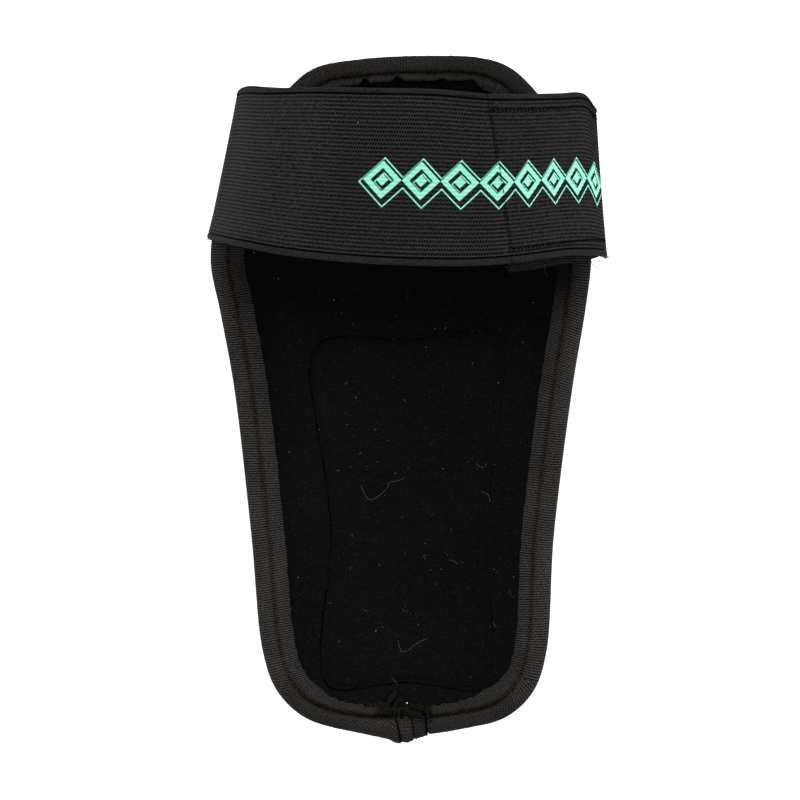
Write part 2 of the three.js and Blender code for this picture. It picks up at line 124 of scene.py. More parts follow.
# The strap's arch from left to right: run, rise, drop and width are shares
ARCH_ROWS = [
    (0, 0, 0.03, 0.862), (0.03, 0.36, 0.219, 0.882), (0.1, 0.71, 0.521, 0.895),
    (0.22, 0.91, 0.77, 0.944), (0.38, 0.985, 0.95, 0.975), (0.55, 1, 1.04, 0.985),
    (0.69, 0.965, 1.09, 0.958), (0.79, 0.77, 0.94, 0.94), (0.89, 0.49, 0.714, 0.9253),
    (0.965, 0.21, 0.6, 0.934), (1, 0, 0.8, 0.86),
]
UNDER_SHARES = [1, 0.75, 0.5, 0.25, 0]
PATCH_START_CROWN = 0.687
PATCH_START_TOE = 0.75

# Sizes that follow

HALF_WIDTH = GUARD_WIDTH / 2
HALF_STACK = (PAD_THICKNESS + CLEARANCE + LINING_THICKNESS) / 2
HALF_EDGE = HALF_STACK - (PAD_THICKNESS - EDGE_THICKNESS) / 2
TAPE_INNER = HALF_EDGE + CLEARANCE
TAPE_OUTER = TAPE_INNER + BINDING_THICKNESS
TOE_Y = -GUARD_LENGTH / 2 + CLEARANCE + JOIN_THICKNESS + JOIN_BULGE
CROWN_Y = GUARD_LENGTH / 2
BOUND_LENGTH = CROWN_Y - TOE_Y
REST_HEIGHT = HALF_STACK + FRONT_PUFF - REST_FLAT
PANEL_TOE_Y = TOE_Y + PANEL_FROM_TOE
FOLD_RADIUS = TAPE_OUTER + CLEARANCE + STRAP_THICKNESS / 2
PATCH_LAYER = PATCH_THICKNESS + CLEARANCE
STRAP_MIDDLE_Y = CROWN_Y - STRAP_FROM_CROWN
TOE_END_Y = -100 * MM  # the toe's end of the edge lies below it
PAST_TAPE = 1.1 * MM  # from the tape's inner edge to where the stack thickens


# Arithmetic on arrays of points

def smoothstep(value, low, high):
    share = np.clip((value - low) / (high - low), 0, 1)
    return share * share * (3 - 2 * share)


def unit(vectors):
    return vectors / np.linalg.norm(vectors, axis=-1, keepdims=True)


def dot(a, b):
    return (a * b).sum(axis=-1, keepdims=True)


def bell(value, width):
    return np.exp(-((value / width) ** 2))


def columns(*values):
    """Several arrays of numbers as one array of points."""
    return np.stack(np.broadcast_arrays(*values), axis=-1).astype(float)


class Spline:
    """A centripetal curve through points, the same one that the frame's solids follow."""

    def __init__(self, points, closed=False):
        self.points = np.asarray(points, float)
        self.closed = closed

    def at(self, shares):
        count = len(self.points)
        place = np.asarray(shares, float) * (count if self.closed else count - 1)
        if self.closed:
            first = np.floor(place).astype(int)
            knots = [self.points[(first + step) % count] for step in (-1, 0, 1, 2)]
        else:
            first = np.clip(np.floor(place).astype(int), 0, count - 2)
            before = 2 * self.points[:1] - self.points[1:2]
            after = 2 * self.points[-1:] - self.points[-2:-1]
            longer = np.concatenate([before, self.points, after])
            knots = [longer[first + step] for step in range(4)]
        w = (place - first)[..., None]
        a, b, c, d = knots
        spans = [np.linalg.norm(q - p, axis=-1, keepdims=True) ** 0.5 for p, q in zip(knots, knots[1:])]
        before, here, after = [np.where(span < 1e-6, spans[1], span) for span in spans]
        leave = ((b - a) / before - (c - a) / (before + here) + (c - b) / here) * here
        arrive = ((c - b) / here - (d - b) / (here + after) + (d - c) / after) * here
        square = -3 * b + 3 * c - 2 * leave - arrive
        cube = 2 * b - 2 * c + leave + arrive
        return b + leave * w + square * w**2 + cube * w**3


# The dish: the middle of the stack of pad and lining over X and Y

def wing_reach(y):
    share = np.clip((y - TOE_Y) / (BOUND_LENGTH * WIDEST_SHARE), 0, 1)
    return WING_TOE_WIDTH / 2 * (1 - share) + HALF_WIDTH * share


def curl(distance, bend, lift, power):
    return lift * (np.maximum(distance, 0) / bend) ** power


def dish_height(x, y):
    reach = wing_reach(y)
    slope = np.where(x < 0, math.tan(WING_ANGLE_LEFT), math.tan(WING_ANGLE_RIGHT))
    wing = slope * reach / WING_POWER * (np.abs(x) / reach) ** WING_POWER
    crown = curl(y - (CROWN_Y - CROWN_BEND), CROWN_BEND, CROWN_LIFT, CROWN_POWER)
    toe = curl(TOE_Y + TOE_BEND - y, TOE_BEND, TOE_LIFT, TOE_POWER)
    return REST_HEIGHT + wing + crown + toe


def dish_normal(x, y):
    step = 0.05 * MM
    slope_x = (dish_height(x + step, y) - dish_height(x - step, y)) / (2 * step)
    slope_y = (dish_height(x, y + step) - dish_height(x, y - step)) / (2 * step)
    return unit(columns(-slope_x, -slope_y, 1))


def dish_point(x, y, offset):
    """Points over the dish, that far along its normal: + is the leg's side."""
    return columns(x, y, dish_height(x, y)) + dish_normal(x, y) * np.asarray(offset)[..., None]


def girth(x, y):
    """How far x lies from the middle along the dish, for a cloth laid on it."""
    steps = np.linspace(0, 1, 9)
    reach = wing_reach(y)
    slope = np.where(x < 0, math.tan(WING_ANGLE_LEFT), math.tan(WING_ANGLE_RIGHT))
    rises = [slope * (np.abs(x) * s / reach) ** (WING_POWER - 1) for s in steps]
    lengths = [np.sqrt(1 + rise**2) for rise in rises]
    return x * np.trapz(lengths, steps, axis=0)


# Outlines in plan

def closed_outline(rows, toe, crown, half_width, start, length):
    right = [(share_right * half_width, start + along * length) for along, _, share_right in rows]
    left = [(-share_left * half_width, start + along * length) for along, share_left, _ in rows]
    return Spline([toe, *right, crown, *left[::-1]], closed=True)


OUTLINE = closed_outline(
    OUTLINE_ROWS, (TOE_SHIFT * HALF_WIDTH, TOE_Y), (CROWN_SHIFT * HALF_WIDTH, CROWN_Y),
    HALF_WIDTH, TOE_Y, BOUND_LENGTH,
)
PANEL = closed_outline(
    PANEL_ROWS, (0, PANEL_TOE_Y + PANEL_TOE_SHARE * PANEL_LENGTH),
    (0, PANEL_TOE_Y + PANEL_CROWN_SHARE * PANEL_LENGTH),
    PANEL_WIDTH / 2, PANEL_TOE_Y, PANEL_LENGTH,
)
PANEL.points[:, 1] += (PANEL_CORNER_RISE * smoothstep(PANEL.points[:, 0], 0, PANEL_WIDTH / 2)
                       * (PANEL.points[:, 1] > PANEL_TOE_Y + PANEL_LENGTH * 0.9))


def polygon_distance(x, y, polygon):
    """How far each place lies from a closed polygon in plan, + inside and - outside."""
    a, b = polygon, np.roll(polygon, -1, axis=0)
    side = b - a
    rise = np.where(side[:, 1] == 0, 1e-12, side[:, 1])
    places = columns(x, y).reshape(-1, 2)
    found = []
    for block in np.array_split(places, len(places) // 2000 + 1):
        block = block[:, None]
        share = np.clip(((block - a) * side).sum(-1) / (side**2).sum(-1), 0, 1)
        nearest = np.linalg.norm(block - a - side * share[..., None], axis=-1).min(axis=1)
        crosses = (a[:, 1] > block[..., 1]) != (b[:, 1] > block[..., 1])
        hit = block[..., 0] < a[:, 0] + (block[..., 1] - a[:, 1]) * side[:, 0] / rise
        inside = (crosses & hit).sum(axis=1) % 2 == 1
        found.append(np.where(inside, nearest, -nearest))
    return np.concatenate(found).reshape(np.shape(x))


class Edge:
    """The line where the stack's middle ends, with the ways out of it and off it."""

    def __init__(self, shares):
        gap = 1e-4
        along = OUTLINE.at(shares + gap) - OUTLINE.at(shares - gap)
        out = unit(columns(along[:, 1], -along[:, 0], 0))
        foot = columns(*OUTLINE.at(shares).T, 0) - out * TAPE_OUTER
        self.x, self.y = foot[:, 0], foot[:, 1]
        self.out = out
        self.stand()

    def stand(self):
        """Sets each point on the dish, with its ways off the dish and out along it."""
        self.normal = dish_normal(self.x, self.y)
        self.outward = unit(self.out - self.normal * dot(self.out, self.normal))
        self.level = np.hypot(self.outward[:, 0], self.outward[:, 1])
        self.point = columns(self.x, self.y, dish_height(self.x, self.y))

    def leg(self, reach, offset):
        """Points on a leg of the tape, that far in from the edge and off the stack's middle."""
        x = self.x - self.out[:, 0] * reach * self.level
        y = self.y - self.out[:, 1] * reach * self.level
        return dish_point(x, y, offset + 0 * x)

    def nose(self, angle, radius):
        """Points round the edge, at an angle from straight out."""
        radius = np.asarray(radius)[..., None]
        return self.point + radius * (self.outward * math.cos(angle) + self.normal * math.sin(angle))

    def arc(self):
        """How far each point lies along the whole edge, with the full length at the end."""
        gaps = np.linalg.norm(np.roll(self.point, -1, axis=0) - self.point, axis=1)
        return np.concatenate([[0], np.cumsum(gaps)])


def even_shares(count):
    return np.arange(count) / count


RIM = Edge(even_shares(360))
RIM_POLYGON = columns(RIM.x, RIM.y)
PANEL_POLYGON = PANEL.at(even_shares(240))


def half_thickness(x, y):
    start = BINDING_INSIDE + PAST_TAPE
    depth = np.maximum(polygon_distance(x, y, RIM_POLYGON), 0)
    return HALF_EDGE + (HALF_STACK - HALF_EDGE) * smoothstep(depth, start, start + EDGE_TAPER)


def edge_reach(y, sign):
    """How far the edge stands from the middle at a place along the guard, on one side."""
    x, ys = RIM.x, RIM.y
    x2, y2 = np.roll(x, -1), np.roll(ys, -1)
    crosses = (ys > y) != (y2 > y)
    at = x[crosses] + (y - ys[crosses]) / (y2[crosses] - ys[crosses]) * (x2[crosses] - x[crosses])
    return max(0.0, float((at * sign).max()))


# The strap's surface: paths along it, each at its own place across from the toe's side

def stand_off(x, y):
    depth = np.maximum(polygon_distance(x, y, RIM_POLYGON), 0)
    on_front = HALF_STACK + CLEARANCE + STRAP_THICKNESS / 2
    return FOLD_RADIUS + (on_front - FOLD_RADIUS) * smoothstep(depth, 0, BINDING_OUTSIDE)


def strap_y(row, side):
    return STRAP_MIDDLE_Y - STRAP_DROP * row[2] + (side - 0.5) * STRAP_WIDTH * row[3]


def strap_turn(sign, side):
    left = sign < 0
    row = ARCH_ROWS[0] if left else ARCH_ROWS[-1]
    y = strap_y(row, side)
    straight = edge_reach(strap_y(row, 0), sign) + (0 if left else STRAP_SLACK)
    straight -= (STRAP_LEAN_LEFT if left else STRAP_LEAN_RIGHT) * side
    x = sign * max(straight, edge_reach(y, sign))
    return x, y, float(dish_height(np.float64(x), y)), FOLD_RADIUS + (0 if left else PATCH_LAYER)


def strap_end(sign, side):
    x, y, z, radius = strap_turn(sign, side)
    under_x = x - sign * STRAP_UNDER * np.array(UNDER_SHARES)
    extra = 0 if sign < 0 else PATCH_LAYER
    under = dish_point(under_x, y + 0 * under_x, -stand_off(under_x, y + 0 * under_x) - extra)
    halfway = unit(-dish_normal(np.float64(x), y) + np.array([sign, 0, 0]))
    return [*under, np.array([x, y, z]) + halfway * radius]


def strap_arch(side):
    left, right = strap_turn(-1, side), strap_turn(1, side)
    top = STRAP_HEIGHT + STRAP_LIFT * (side - 0.5)
    start, end = left[0] - left[3], right[0] + right[3]
    points = []
    for row in ARCH_ROWS:
        foot = left[2] if row[0] < 0.5 else right[2]
        height = foot + (top - foot) * row[1]
        points.append((start + (end - start) * row[0], strap_y(row, side), height))
    return points


def strap_path(side):
    return Spline([*strap_end(-1, side), *strap_arch(side), *strap_end(1, side)[::-1]])


STATIONS = len(UNDER_SHARES) * 2 + 2 + len(ARCH_ROWS)


def path_share(run):
    """The share of a strap path at a place along the arch."""
    following = next(i for i, row in enumerate(ARCH_ROWS) if row[0] > run)
    a, b = ARCH_ROWS[following - 1][0], ARCH_ROWS[following][0]
    return (len(UNDER_SHARES) + following + (run - a) / (b - a)) / (STATIONS - 1)


# Meshes from grids of points

def in_object_mode():
    if bpy.context.object and bpy.context.object.mode != "OBJECT":
        bpy.ops.object.mode_set(mode="OBJECT")
    bpy.ops.object.select_all(action="DESELECT")


def woven(name, points, flat, loop_rows=False, loop_columns=False):
    """A smooth mesh from rows of points. flat is each point's place on the flat cloth, with
    one more row or column where the mesh closes on itself."""
    rows, count = points.shape[:2]
    last_row = rows if loop_rows else rows - 1
    last_column = count if loop_columns else count - 1
    r, c = [index.ravel() for index in np.mgrid[0:last_row, 0:last_column]]
    corners = [(r, c), (r, c + 1), (r + 1, c + 1), (r + 1, c)]
    faces = np.stack([(i % rows) * count + j % count for i, j in corners], axis=1)
    mesh = bpy.data.meshes.new(name)
    mesh.from_pydata(points.reshape(-1, 3), [], faces)
    places = np.stack([flat[i, j] for i, j in corners], axis=1)
    layer = mesh.uv_layers.new(name="cloth")
    layer.uv.foreach_set("vector", places.astype(np.float32).ravel())
    shape = bmesh.new()
    shape.from_mesh(mesh)
    bmesh.ops.remove_doubles(shape, verts=shape.verts, dist=1e-6)
    bmesh.ops.dissolve_degenerate(shape, dist=1e-7, edges=shape.edges)
    if shape.calc_volume(signed=True) < 0:
        bmesh.ops.reverse_faces(shape, faces=shape.faces)
    for face in shape.faces:
        face.smooth = True
    shape.to_mesh(mesh)
    shape.free()
    piece = bpy.data.objects.new(name, mesh)
    bpy.context.scene.collection.objects.link(piece)
    return piece


def sheet_mesh(name, outer, inner, flat, loop=False):
    """A closed sheet from its two faces, each rows of points across the cloth."""
    ring = np.concatenate([outer, inner[:, ::-1]], axis=1)
    places = np.concatenate([flat, flat[:, ::-1], flat[:, :1]], axis=1)
    if not loop:
        tip = (ring + ring[:, ::-1]) / 2
        ring = np.concatenate([tip[:1], ring, tip[-1:]])
        places = np.concatenate([places[:1], places, places[-1:]])
    return woven(name, ring, places, loop_rows=loop, loop_columns=True)


def surface_normals(points):
    along = np.gradient(points, axis=0)
    across = np.gradient(points, axis=1)
    return unit(np.cross(along, across))


def travelled(points):
    """How far each point of a line lies along it."""
    gaps = np.linalg.norm(np.diff(points, axis=0), axis=-1)
    return np.concatenate([[0], np.cumsum(gaps)])


def ripple(place, seed):
    """A slow, uneven wave between about -1 and 1 over a place measured in its own lengths."""
    waves = np.random.default_rng(seed).uniform(0, 2 * math.pi, 4)
    factors = (1, 1.618, 2.414, 0.577)
    return sum(np.sin(2 * math.pi * place * f + w) for f, w in zip(factors, waves)) / 2.4


# The tape's folded end at the toe

FOLD_LEFT_INSIDE = -4.9 * MM  # the diagonal fold, where it starts along X
FOLD_LEFT_OUTSIDE = -2.2 * MM
FOLD_RIGHT = 7.7 * MM
END_INSIDE = 1.1 * MM
END_PLACE = 30 * MM  # where the end lies on its own cloth
FOLD_TURN = 130  # degrees round the edge over which the diagonal fold runs
LIP = 0.7 * MM  # how far the rolled tape hangs over its folded end


# Shader maths, written as Python expressions

class Signal:
    """A socket inside a material that takes part in sums."""

    def __init__(self, finish, socket):
        self.finish = finish
        self.socket = socket

    def __add__(self, other):
        return self.finish.math("ADD", self, other)

    __radd__ = __add__

    def __sub__(self, other):
        return self.finish.math("SUBTRACT", self, other)

    def __rsub__(self, other):
        return self.finish.math("SUBTRACT", other, self)

    def __mul__(self, other):
        return self.finish.math("MULTIPLY", self, other)

    __rmul__ = __mul__

    def __truediv__(self, other):
        return self.finish.math("DIVIDE", self, other)


class Finish:
    """A material under construction, on one main shader."""

    def __init__(self, name, roughness, specular, sheen=0.0):
        self.material = bpy.data.materials.new(name)
        self.material.use_nodes = True
        self.nodes = self.material.node_tree.nodes
        self.links = self.material.node_tree.links
        self.shader = self.nodes["Principled BSDF"]
        self.set("Roughness", roughness)
        self.set("Specular IOR Level", specular)
        self.set("Sheen Weight", sheen)
        self.set("Sheen Roughness", 0.5)

    def set(self, socket, value):
        self.plug(self.shader.inputs[socket], value)

    def plug(self, socket, value):
        if isinstance(value, Signal):
            self.links.new(value.socket, socket)
        elif socket.type == "RGBA" and len(value) == 3:
            socket.default_value = (*value, 1)
        else:
            socket.default_value = value

    def node(self, kind, settings=None, inputs=None, output=0):
        """Adds a node: its settings first, then the values or links of its sockets."""
        made = self.nodes.new("ShaderNode" + kind)
        for key, value in (settings or {}).items():
            setattr(made, key, value)
        for key, value in (inputs or {}).items():
            self.plug(made.inputs[key], value)
        return Signal(self, made.outputs[output])

    def math(self, operation, *values, clamp=False):
        settings = {"operation": operation, "use_clamp": clamp}
        return self.node("Math", settings, dict(enumerate(values)))

    def most(self, first, *others):
        for other in others:
            first = self.math("MAXIMUM", first, other)
        return first

    def sine(self, value):
        return self.math("SINE", value * (2 * math.pi))

    def ramp(self, value, low, high, start=0.0, end=1.0):
        """From start to end, smoothly, as value goes from low to high."""
        settings = {"interpolation_type": "SMOOTHSTEP"}
        inputs = {"Value": value, "From Min": low, "From Max": high, "To Min": start, "To Max": end}
        return self.node("MapRange", settings, inputs)

    def mix(self, factor, first, second):
        settings = {"data_type": "RGBA"}
        return self.node("Mix", settings, {0: factor, 6: first, 7: second}, output=2)

    def tinted(self, colour, light):
        """A colour made darker or lighter by a factor of 0 to 3."""
        return self.mix(light / 3, (0, 0, 0), [3 * c for c in colour])

    def tint(self, colour, light):
        self.set("Base Color", self.tinted(colour, light))

    def parts(self, vector):
        """The three numbers of a vector."""
        node = self.node("SeparateXYZ", {}, {0: vector}).socket.node
        return [Signal(self, output) for output in node.outputs]

    def object_place(self):
        return self.parts(self.node("TexCoord", output=3))

    def cloth_place(self):
        """The two places on the flat cloth, in metres."""
        return self.parts(self.node("UVMap", {"uv_map": "cloth"}))[:2]

    def noise(self, scale, detail=2.0, stretch=(1, 1, 1), seed=0.0):
        place = self.node("TexCoord", output=3)
        settings = {"noise_dimensions": "4D"}
        moved = self.node("Mapping", {}, {"Vector": place, "Scale": stretch})
        inputs = {"Vector": moved, "W": seed, "Scale": scale, "Detail": detail}
        return self.node("TexNoise", settings, inputs)

    def bump(self, height, distance, strength=1.0):
        made = self.node("Bump", {}, {"Height": height, "Distance": distance, "Strength": strength})
        self.set("Normal", made)


# Surfaces that several pieces share

SPINE_TOE = PANEL_TOE_Y + PANEL_LENGTH * 0.15
SPINE_CROWN = PANEL_TOE_Y + PANEL_LENGTH * 0.8
SPINE_GIVE = 0.1
FURROW_REACH = 2.4 * MM  # on both sides of the panel's seam, where the rings lie close
RING_STEPS = (4, 14, 9, 22)  # rings below the tape, up to the furrow, in it and inside it
HALVINGS = 24  # of the search for the seam on each spoke
PUFF_REACH = 15 * MM
CREASE_REACH = 1.15 * MM
GATHER_REACH = 7 * MM
GATHER_HEIGHT = 0.14 * MM
GATHERS_AROUND = 5  # slow waves per radian round the panel's middle
STITCH_INSIDE = 0.5 * MM  # from the edge line to the binding's stitching


def plan_rings(edge):
    """Places in plan, in rows from the edge to the panel's spine, close together at the seam."""
    count = len(edge.x)
    opposite = (count - np.arange(count)) % count
    middle = (edge.y + edge.y[opposite]) / 2
    held = np.clip(middle, SPINE_TOE, SPINE_CROWN)
    start = columns(edge.x, edge.y)
    end = columns(0, held + (middle - held) * SPINE_GIVE)
    outside, seam = np.zeros(count), np.ones(count)
    for _ in range(HALVINGS):
        half = (outside + seam) / 2
        place = start + (end - start) * half[:, None]
        within = polygon_distance(place[:, 0], place[:, 1], PANEL_POLYGON) > 0
        seam = np.where(within, half, seam)
        outside = np.where(within, outside, half)
    length = np.linalg.norm(end - start, axis=1)
    furrow = FURROW_REACH / length
    hem = np.minimum(BINDING_INSIDE / length, (seam - furrow) * 0.8)
    stops = [0 * seam, hem, seam - furrow, seam + furrow, 1 + 0 * seam]
    shares = [stops[0]]
    for a, b, steps in zip(stops, stops[1:], RING_STEPS):
        shares += [a + (b - a) * step / steps for step in range(1, steps + 1)]
    shares = np.stack(shares, axis=1)
    return start[:, None] + (end - start)[:, None] * shares[..., None]


def quilting(x, y, depth, puff):
    """How far a quilted face stands off its plain one: pulled in at the seam, swollen inside."""
    inside = polygon_distance(x, y, PANEL_POLYGON)
    around = np.arctan2(y - (SPINE_TOE + SPINE_CROWN) / 2, x)
    gathers = GATHER_HEIGHT * ripple(around * GATHERS_AROUND, 4) * bell(inside, GATHER_REACH)
    return puff * smoothstep(inside, 0, PUFF_REACH) - depth * bell(inside, CREASE_REACH) + gathers


def creased(x, y):
    """Half the stack's thickness with the lining's crease in it, without its swell."""
    return half_thickness(x, y) + np.minimum(quilting(x, y, sizes().seam_depth, PANEL_PUFF), 0)


STRAP_COLUMNS = 45
STRAP_ROWS = 341
PATCH_SIDE = 0.1  # how far the grid goes on past the toe's side, for the patch


class StrapSurface:
    """The middle of the strap as a grid: rows along it, columns across it."""

    def __init__(self):
        self.sides = np.linspace(-PATCH_SIDE, 1, STRAP_COLUMNS)
        self.shares = np.linspace(0, 1, STRAP_ROWS)
        paths = [strap_path(side).at(self.shares) for side in self.sides]
        self.points = np.stack(paths, axis=1)
        self.normals = surface_normals(self.points)
        middle = np.abs(self.sides - 0.5).argmin()
        self.run = travelled(self.points[:, middle])

    def blend(self, grid, side, share):
        c = np.clip((side - self.sides[0]) / (self.sides[1] - self.sides[0]), 0, len(self.sides) - 1.001)
        r = np.clip(share * (len(self.shares) - 1), 0, len(self.shares) - 1.001)
        c0, r0 = c.astype(int), r.astype(int)
        wc, wr = (c - c0)[..., None], (r - r0)[..., None]
        near = grid[r0, c0] * (1 - wc) + grid[r0, c0 + 1] * wc
        far = grid[r0 + 1, c0] * (1 - wc) + grid[r0 + 1, c0 + 1] * wc
        return near * (1 - wr) + far * wr

    def at(self, side, share, offset=0.0):
        """Points at places across and along the strap, that far off its middle."""
        side, share = np.broadcast_arrays(np.asarray(side, float), np.asarray(share, float))
        offset = np.broadcast_to(offset, side.shape)[..., None]
        return self.blend(self.points, side, share) + self.blend(self.normals, side, share) * offset

    def along(self, share):
        return np.interp(share, self.shares, self.run)

    def share_at(self, run):
        return np.interp(run, self.run, self.shares)


STRAP = StrapSurface()


def patch_line(side):
    """The run along the strap where the hook patch begins, at a place across it."""
    arch_run = PATCH_START_TOE + (PATCH_START_CROWN - PATCH_START_TOE) * np.asarray(side, float)
    shares = [path_share(run) for run in np.atleast_1d(arch_run).ravel()]
    return STRAP.along(np.array(shares)).reshape(np.shape(arch_run))


# What a user may change

def length(name, description, default):
    return bpy.props.FloatProperty(name=name, description=description, default=default, unit="LENGTH")


def colour(name, description, default):
    return bpy.props.FloatVectorProperty(
        name=name, description=description, default=default, subtype="COLOR", size=3, min=0, max=1
    )


class GuardSizes(bpy.types.PropertyGroup):
    rib_pitch: length("Strap rib pitch", "From rib to rib across the elastic", 1.4 * MM)
    rib_height: length("Strap rib height", "How far the elastic's ribs stand up", 0.17 * MM)
    toe_selvedge: length("Toe selvedge", "Width of the strap's fuzzy edge", 2.7 * MM)
    crown_selvedge: length("Crown selvedge", "Width of the strap's rolled edge", 2.1 * MM)
    tape_pitch: length("Tape rib pitch", "From rib to rib along the binding", 0.92 * MM)
    tape_groove: length("Tape groove", "How deep the stitching pulls the binding in", 0.75 * MM)
    stitch: length("Stitch length", "From needle hole to needle hole", 2.3 * MM)
    thread: length("Thread thickness", "Diameter of the sewing thread", 0.34 * MM)
    seam_depth: length("Seam depth", "How deep the quilting pulls the lining in", 0.9 * MM)
    knit_pitch: length("Lining rib pitch", "From row to row of the brushed knit", 0.93 * MM)


class GuardColours(bpy.types.PropertyGroup):
    elastic: colour("Elastic", "The strap's ribs", (0.0185, 0.0185, 0.0178))
    tape: colour("Tape", "The binding's ribs", (0.0325, 0.0303, 0.0278))
    lining: colour("Lining", "The brushed knit", (0.0035, 0.0035, 0.0035))
    cover: colour("Cover", "The front of the pad", (0.008, 0.008, 0.008))
    hooks: colour("Hook tape", "The patch inside the strap", (0.008, 0.008, 0.008))
    thread: colour("Thread", "The stitches", (0.0015, 0.0015, 0.0015))
    fray: colour("Fray", "Loose ends of the tape", (0.013, 0.0132, 0.0108))
    print: colour("Print", "The motif on the strap", (0.27, 0.8, 0.58))
    lint: colour("Lint", "Fibres caught in the lining", (0.12, 0.12, 0.115))
    floor: colour("Floor", "The table below the guard", (0.86, 0.86, 0.86))


def sizes():
    return bpy.context.scene.guard_sizes


def colours():
    return bpy.context.scene.guard_colours


def settle(piece, finish, slot, *replaced):
    """Dresses a finished piece. Every piece rides with the guard, which is one body."""
    dress(piece, finish)
    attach(piece, "root")
    if replaced:
        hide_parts(*replaced)


def dress(piece, finish):
    piece.data.materials.clear()
    piece.data.materials.append(finish.material)


# Finishes

def brushed_knit():
    finish = Finish("brushed_knit", roughness=1.0, specular=0.02)
    x, y, _ = finish.object_place()
    streaks = finish.noise(520, detail=3, stretch=(1, 3, 1), seed=1)
    nap = finish.noise(2600, detail=1, seed=2)
    tufts = finish.noise(26, detail=3, seed=3)
    specks = finish.ramp(finish.noise(1050, detail=0, stretch=(1.4, 1, 1), seed=4), 0.7, 0.8)
    rows = finish.sine((y + streaks * (0.5 * MM)) / sizes().knit_pitch) * 0.5 + 0.5
    broken = finish.ramp(streaks, 0.4, 0.62)
    light = 0.22 + rows * broken * 0.8 + nap * 0.7 + tufts * 0.6 + specks * 2.4
    # Painted shade under the strap: crown makes the lining up to a third darker towards the crown.
    crown = finish.ramp(y, 5 * MM, 44 * MM)
    # Painted shade in the quilting seam's crease: crease darkens the lining within about half a
    # millimetre of the seam, by a strength that varies at random and weakens towards the right.
    from_seam = finish.node("Attribute", {"attribute_name": "from_seam"}, output=2)
    from_seam = from_seam + (finish.noise(330, detail=2, seed=22) - 0.5) * (0.9 * MM)
    seam_shade_strength = finish.ramp(finish.noise(110, detail=3, seed=21), 0.3, 0.62, 0.12, 1.0)
    seam_shade_strength = seam_shade_strength * finish.ramp(x, 14 * MM, 26 * MM, 1.0, 0.55)
    crease = finish.ramp(finish.math("ABSOLUTE", from_seam), 0.52 * MM, 0.12 * MM) * seam_shade_strength
    light = light * (1 - crown * 0.34) * (1 - crease * 0.9)
    finish.tint(colours().lining, light)
    finish.bump(rows * broken * 0.6 + nap, 0.25 * MM, 0.7)
    return finish


def cover_knit():
    finish = Finish("cover_knit", roughness=0.85, specular=0.12, sheen=0.03)
    u, v = finish.cloth_place()
    wales = finish.sine(u / (0.8 * MM))
    courses = finish.sine(v / (0.64 * MM) + wales * 0.22)
    loops = wales * 0.35 + courses * 0.4 + 0.6
    wear = finish.noise(60, detail=3, seed=5)
    finish.tint(colours().cover, loops * 0.8 + wear * 0.8)
    finish.set("Roughness", 0.95 - wear * 0.2)
    finish.bump(loops, 0.12 * MM, 0.8)
    return finish


def ribbed_tape(name="ribbed_tape", folded_end=False):
    finish = Finish(name, roughness=0.95, specular=0.02)
    u, v = finish.cloth_place()
    wobble = finish.noise(420, detail=2, seed=7)
    rib = u / sizes().tape_pitch + wobble * 0.35
    side = finish.math("ABSOLUTE", finish.math("FRACT", rib) - 0.5) * 2
    gap = finish.ramp(side, 0.35, 0.9)
    row = finish.math("FLOOR", rib)
    beads = finish.sine(v / (0.8 * MM) + row * 0.5)
    fuzz = finish.noise(1900, detail=3, seed=8)
    worn = finish.noise(70, detail=3, seed=9)
    x, y, _ = finish.object_place()
    # crown also marks painted shade: the tape at the crown is made darker, less so on its inner face.
    crown = finish.ramp(y, 92 * MM, 112 * MM)
    toe = finish.ramp(y, -100 * MM, -112 * MM)
    inside = finish.ramp(v, 0.3 * MM, -0.3 * MM)
    # seam: painted shade in the groove that the stitching pulls into the tape, deepest at the toe.
    seam = finish.ramp(finish.math("ABSOLUTE", v), 1.7 * MM, 0.1 * MM)
    # shaded: painted shadow of the strap on the tape below it, deeper on the inner face and weaker on
    # the left.
    shaded = finish.ramp(y, 26 * MM, 46 * MM) * (1 - crown) * finish.ramp(x, -20 * MM, 20 * MM, 0.5, 1.0)
    # under_frays darkens the tape's inner face at the toe's middle, under the frayed ends.
    under_frays = toe * inside * finish.ramp(x, -13 * MM, -9 * MM) * finish.ramp(x, 10 * MM, 8 * MM)
    light = 1.12 + beads * (0.42 - crown * 0.2)
    light = light - gap * ((0.8 if folded_end else 1.05 - crown * 0.55) - toe * 0.36)
    light = light + (fuzz - 0.5) * 3 + (worn - 0.5) * 0.8
    light = light * (1 - seam * (0.28 + toe * 0.45 + crown * 0.22)) * (1 - crown * (0.52 - inside * 0.3))
    light = light * (1 - shaded * (0.36 + inside * 0.38)) * (1 - under_frays * 0.7) * (1 - toe * 0.31)
    if folded_end:
        # Painted shade in the folded end's creases: dark lines along its diagonal left fold, its right
        # fold and its middle fold. Right of the middle fold the tape is a quarter darker.
        place = v - END_PLACE
        turn = finish.math("DIVIDE", u, TAPE_OUTER * math.radians(FOLD_TURN), clamp=True)
        left = FOLD_LEFT_INSIDE + turn * (FOLD_LEFT_OUTSIDE - FOLD_LEFT_INSIDE)
        middle = left * 0.45 + FOLD_RIGHT * 0.55
        across = finish.math("ABSOLUTE", place - middle)
        left_crease_shade = finish.ramp(place - left, LIP + 0.75 * MM, LIP + 0.25 * MM)
        right_crease_shade = finish.ramp(place, FOLD_RIGHT - 0.8 * MM, FOLD_RIGHT - 0.3 * MM)
        middle_crease_shade = finish.ramp(across, 0.45 * MM, 0.15 * MM) * 0.7
        crease = finish.most(left_crease_shade, right_crease_shade, middle_crease_shade)
        light = light * (1 - crease * 0.97) * (1 - finish.ramp(place - middle, 0.0, 0.4 * MM) * 0.25)
    finish.tint(colours().tape, finish.math("MAXIMUM", light, 0.02))
    finish.bump(1 - gap + beads * 0.12 + fuzz * 0.4, 0.2 * MM, 0.9)
    return finish


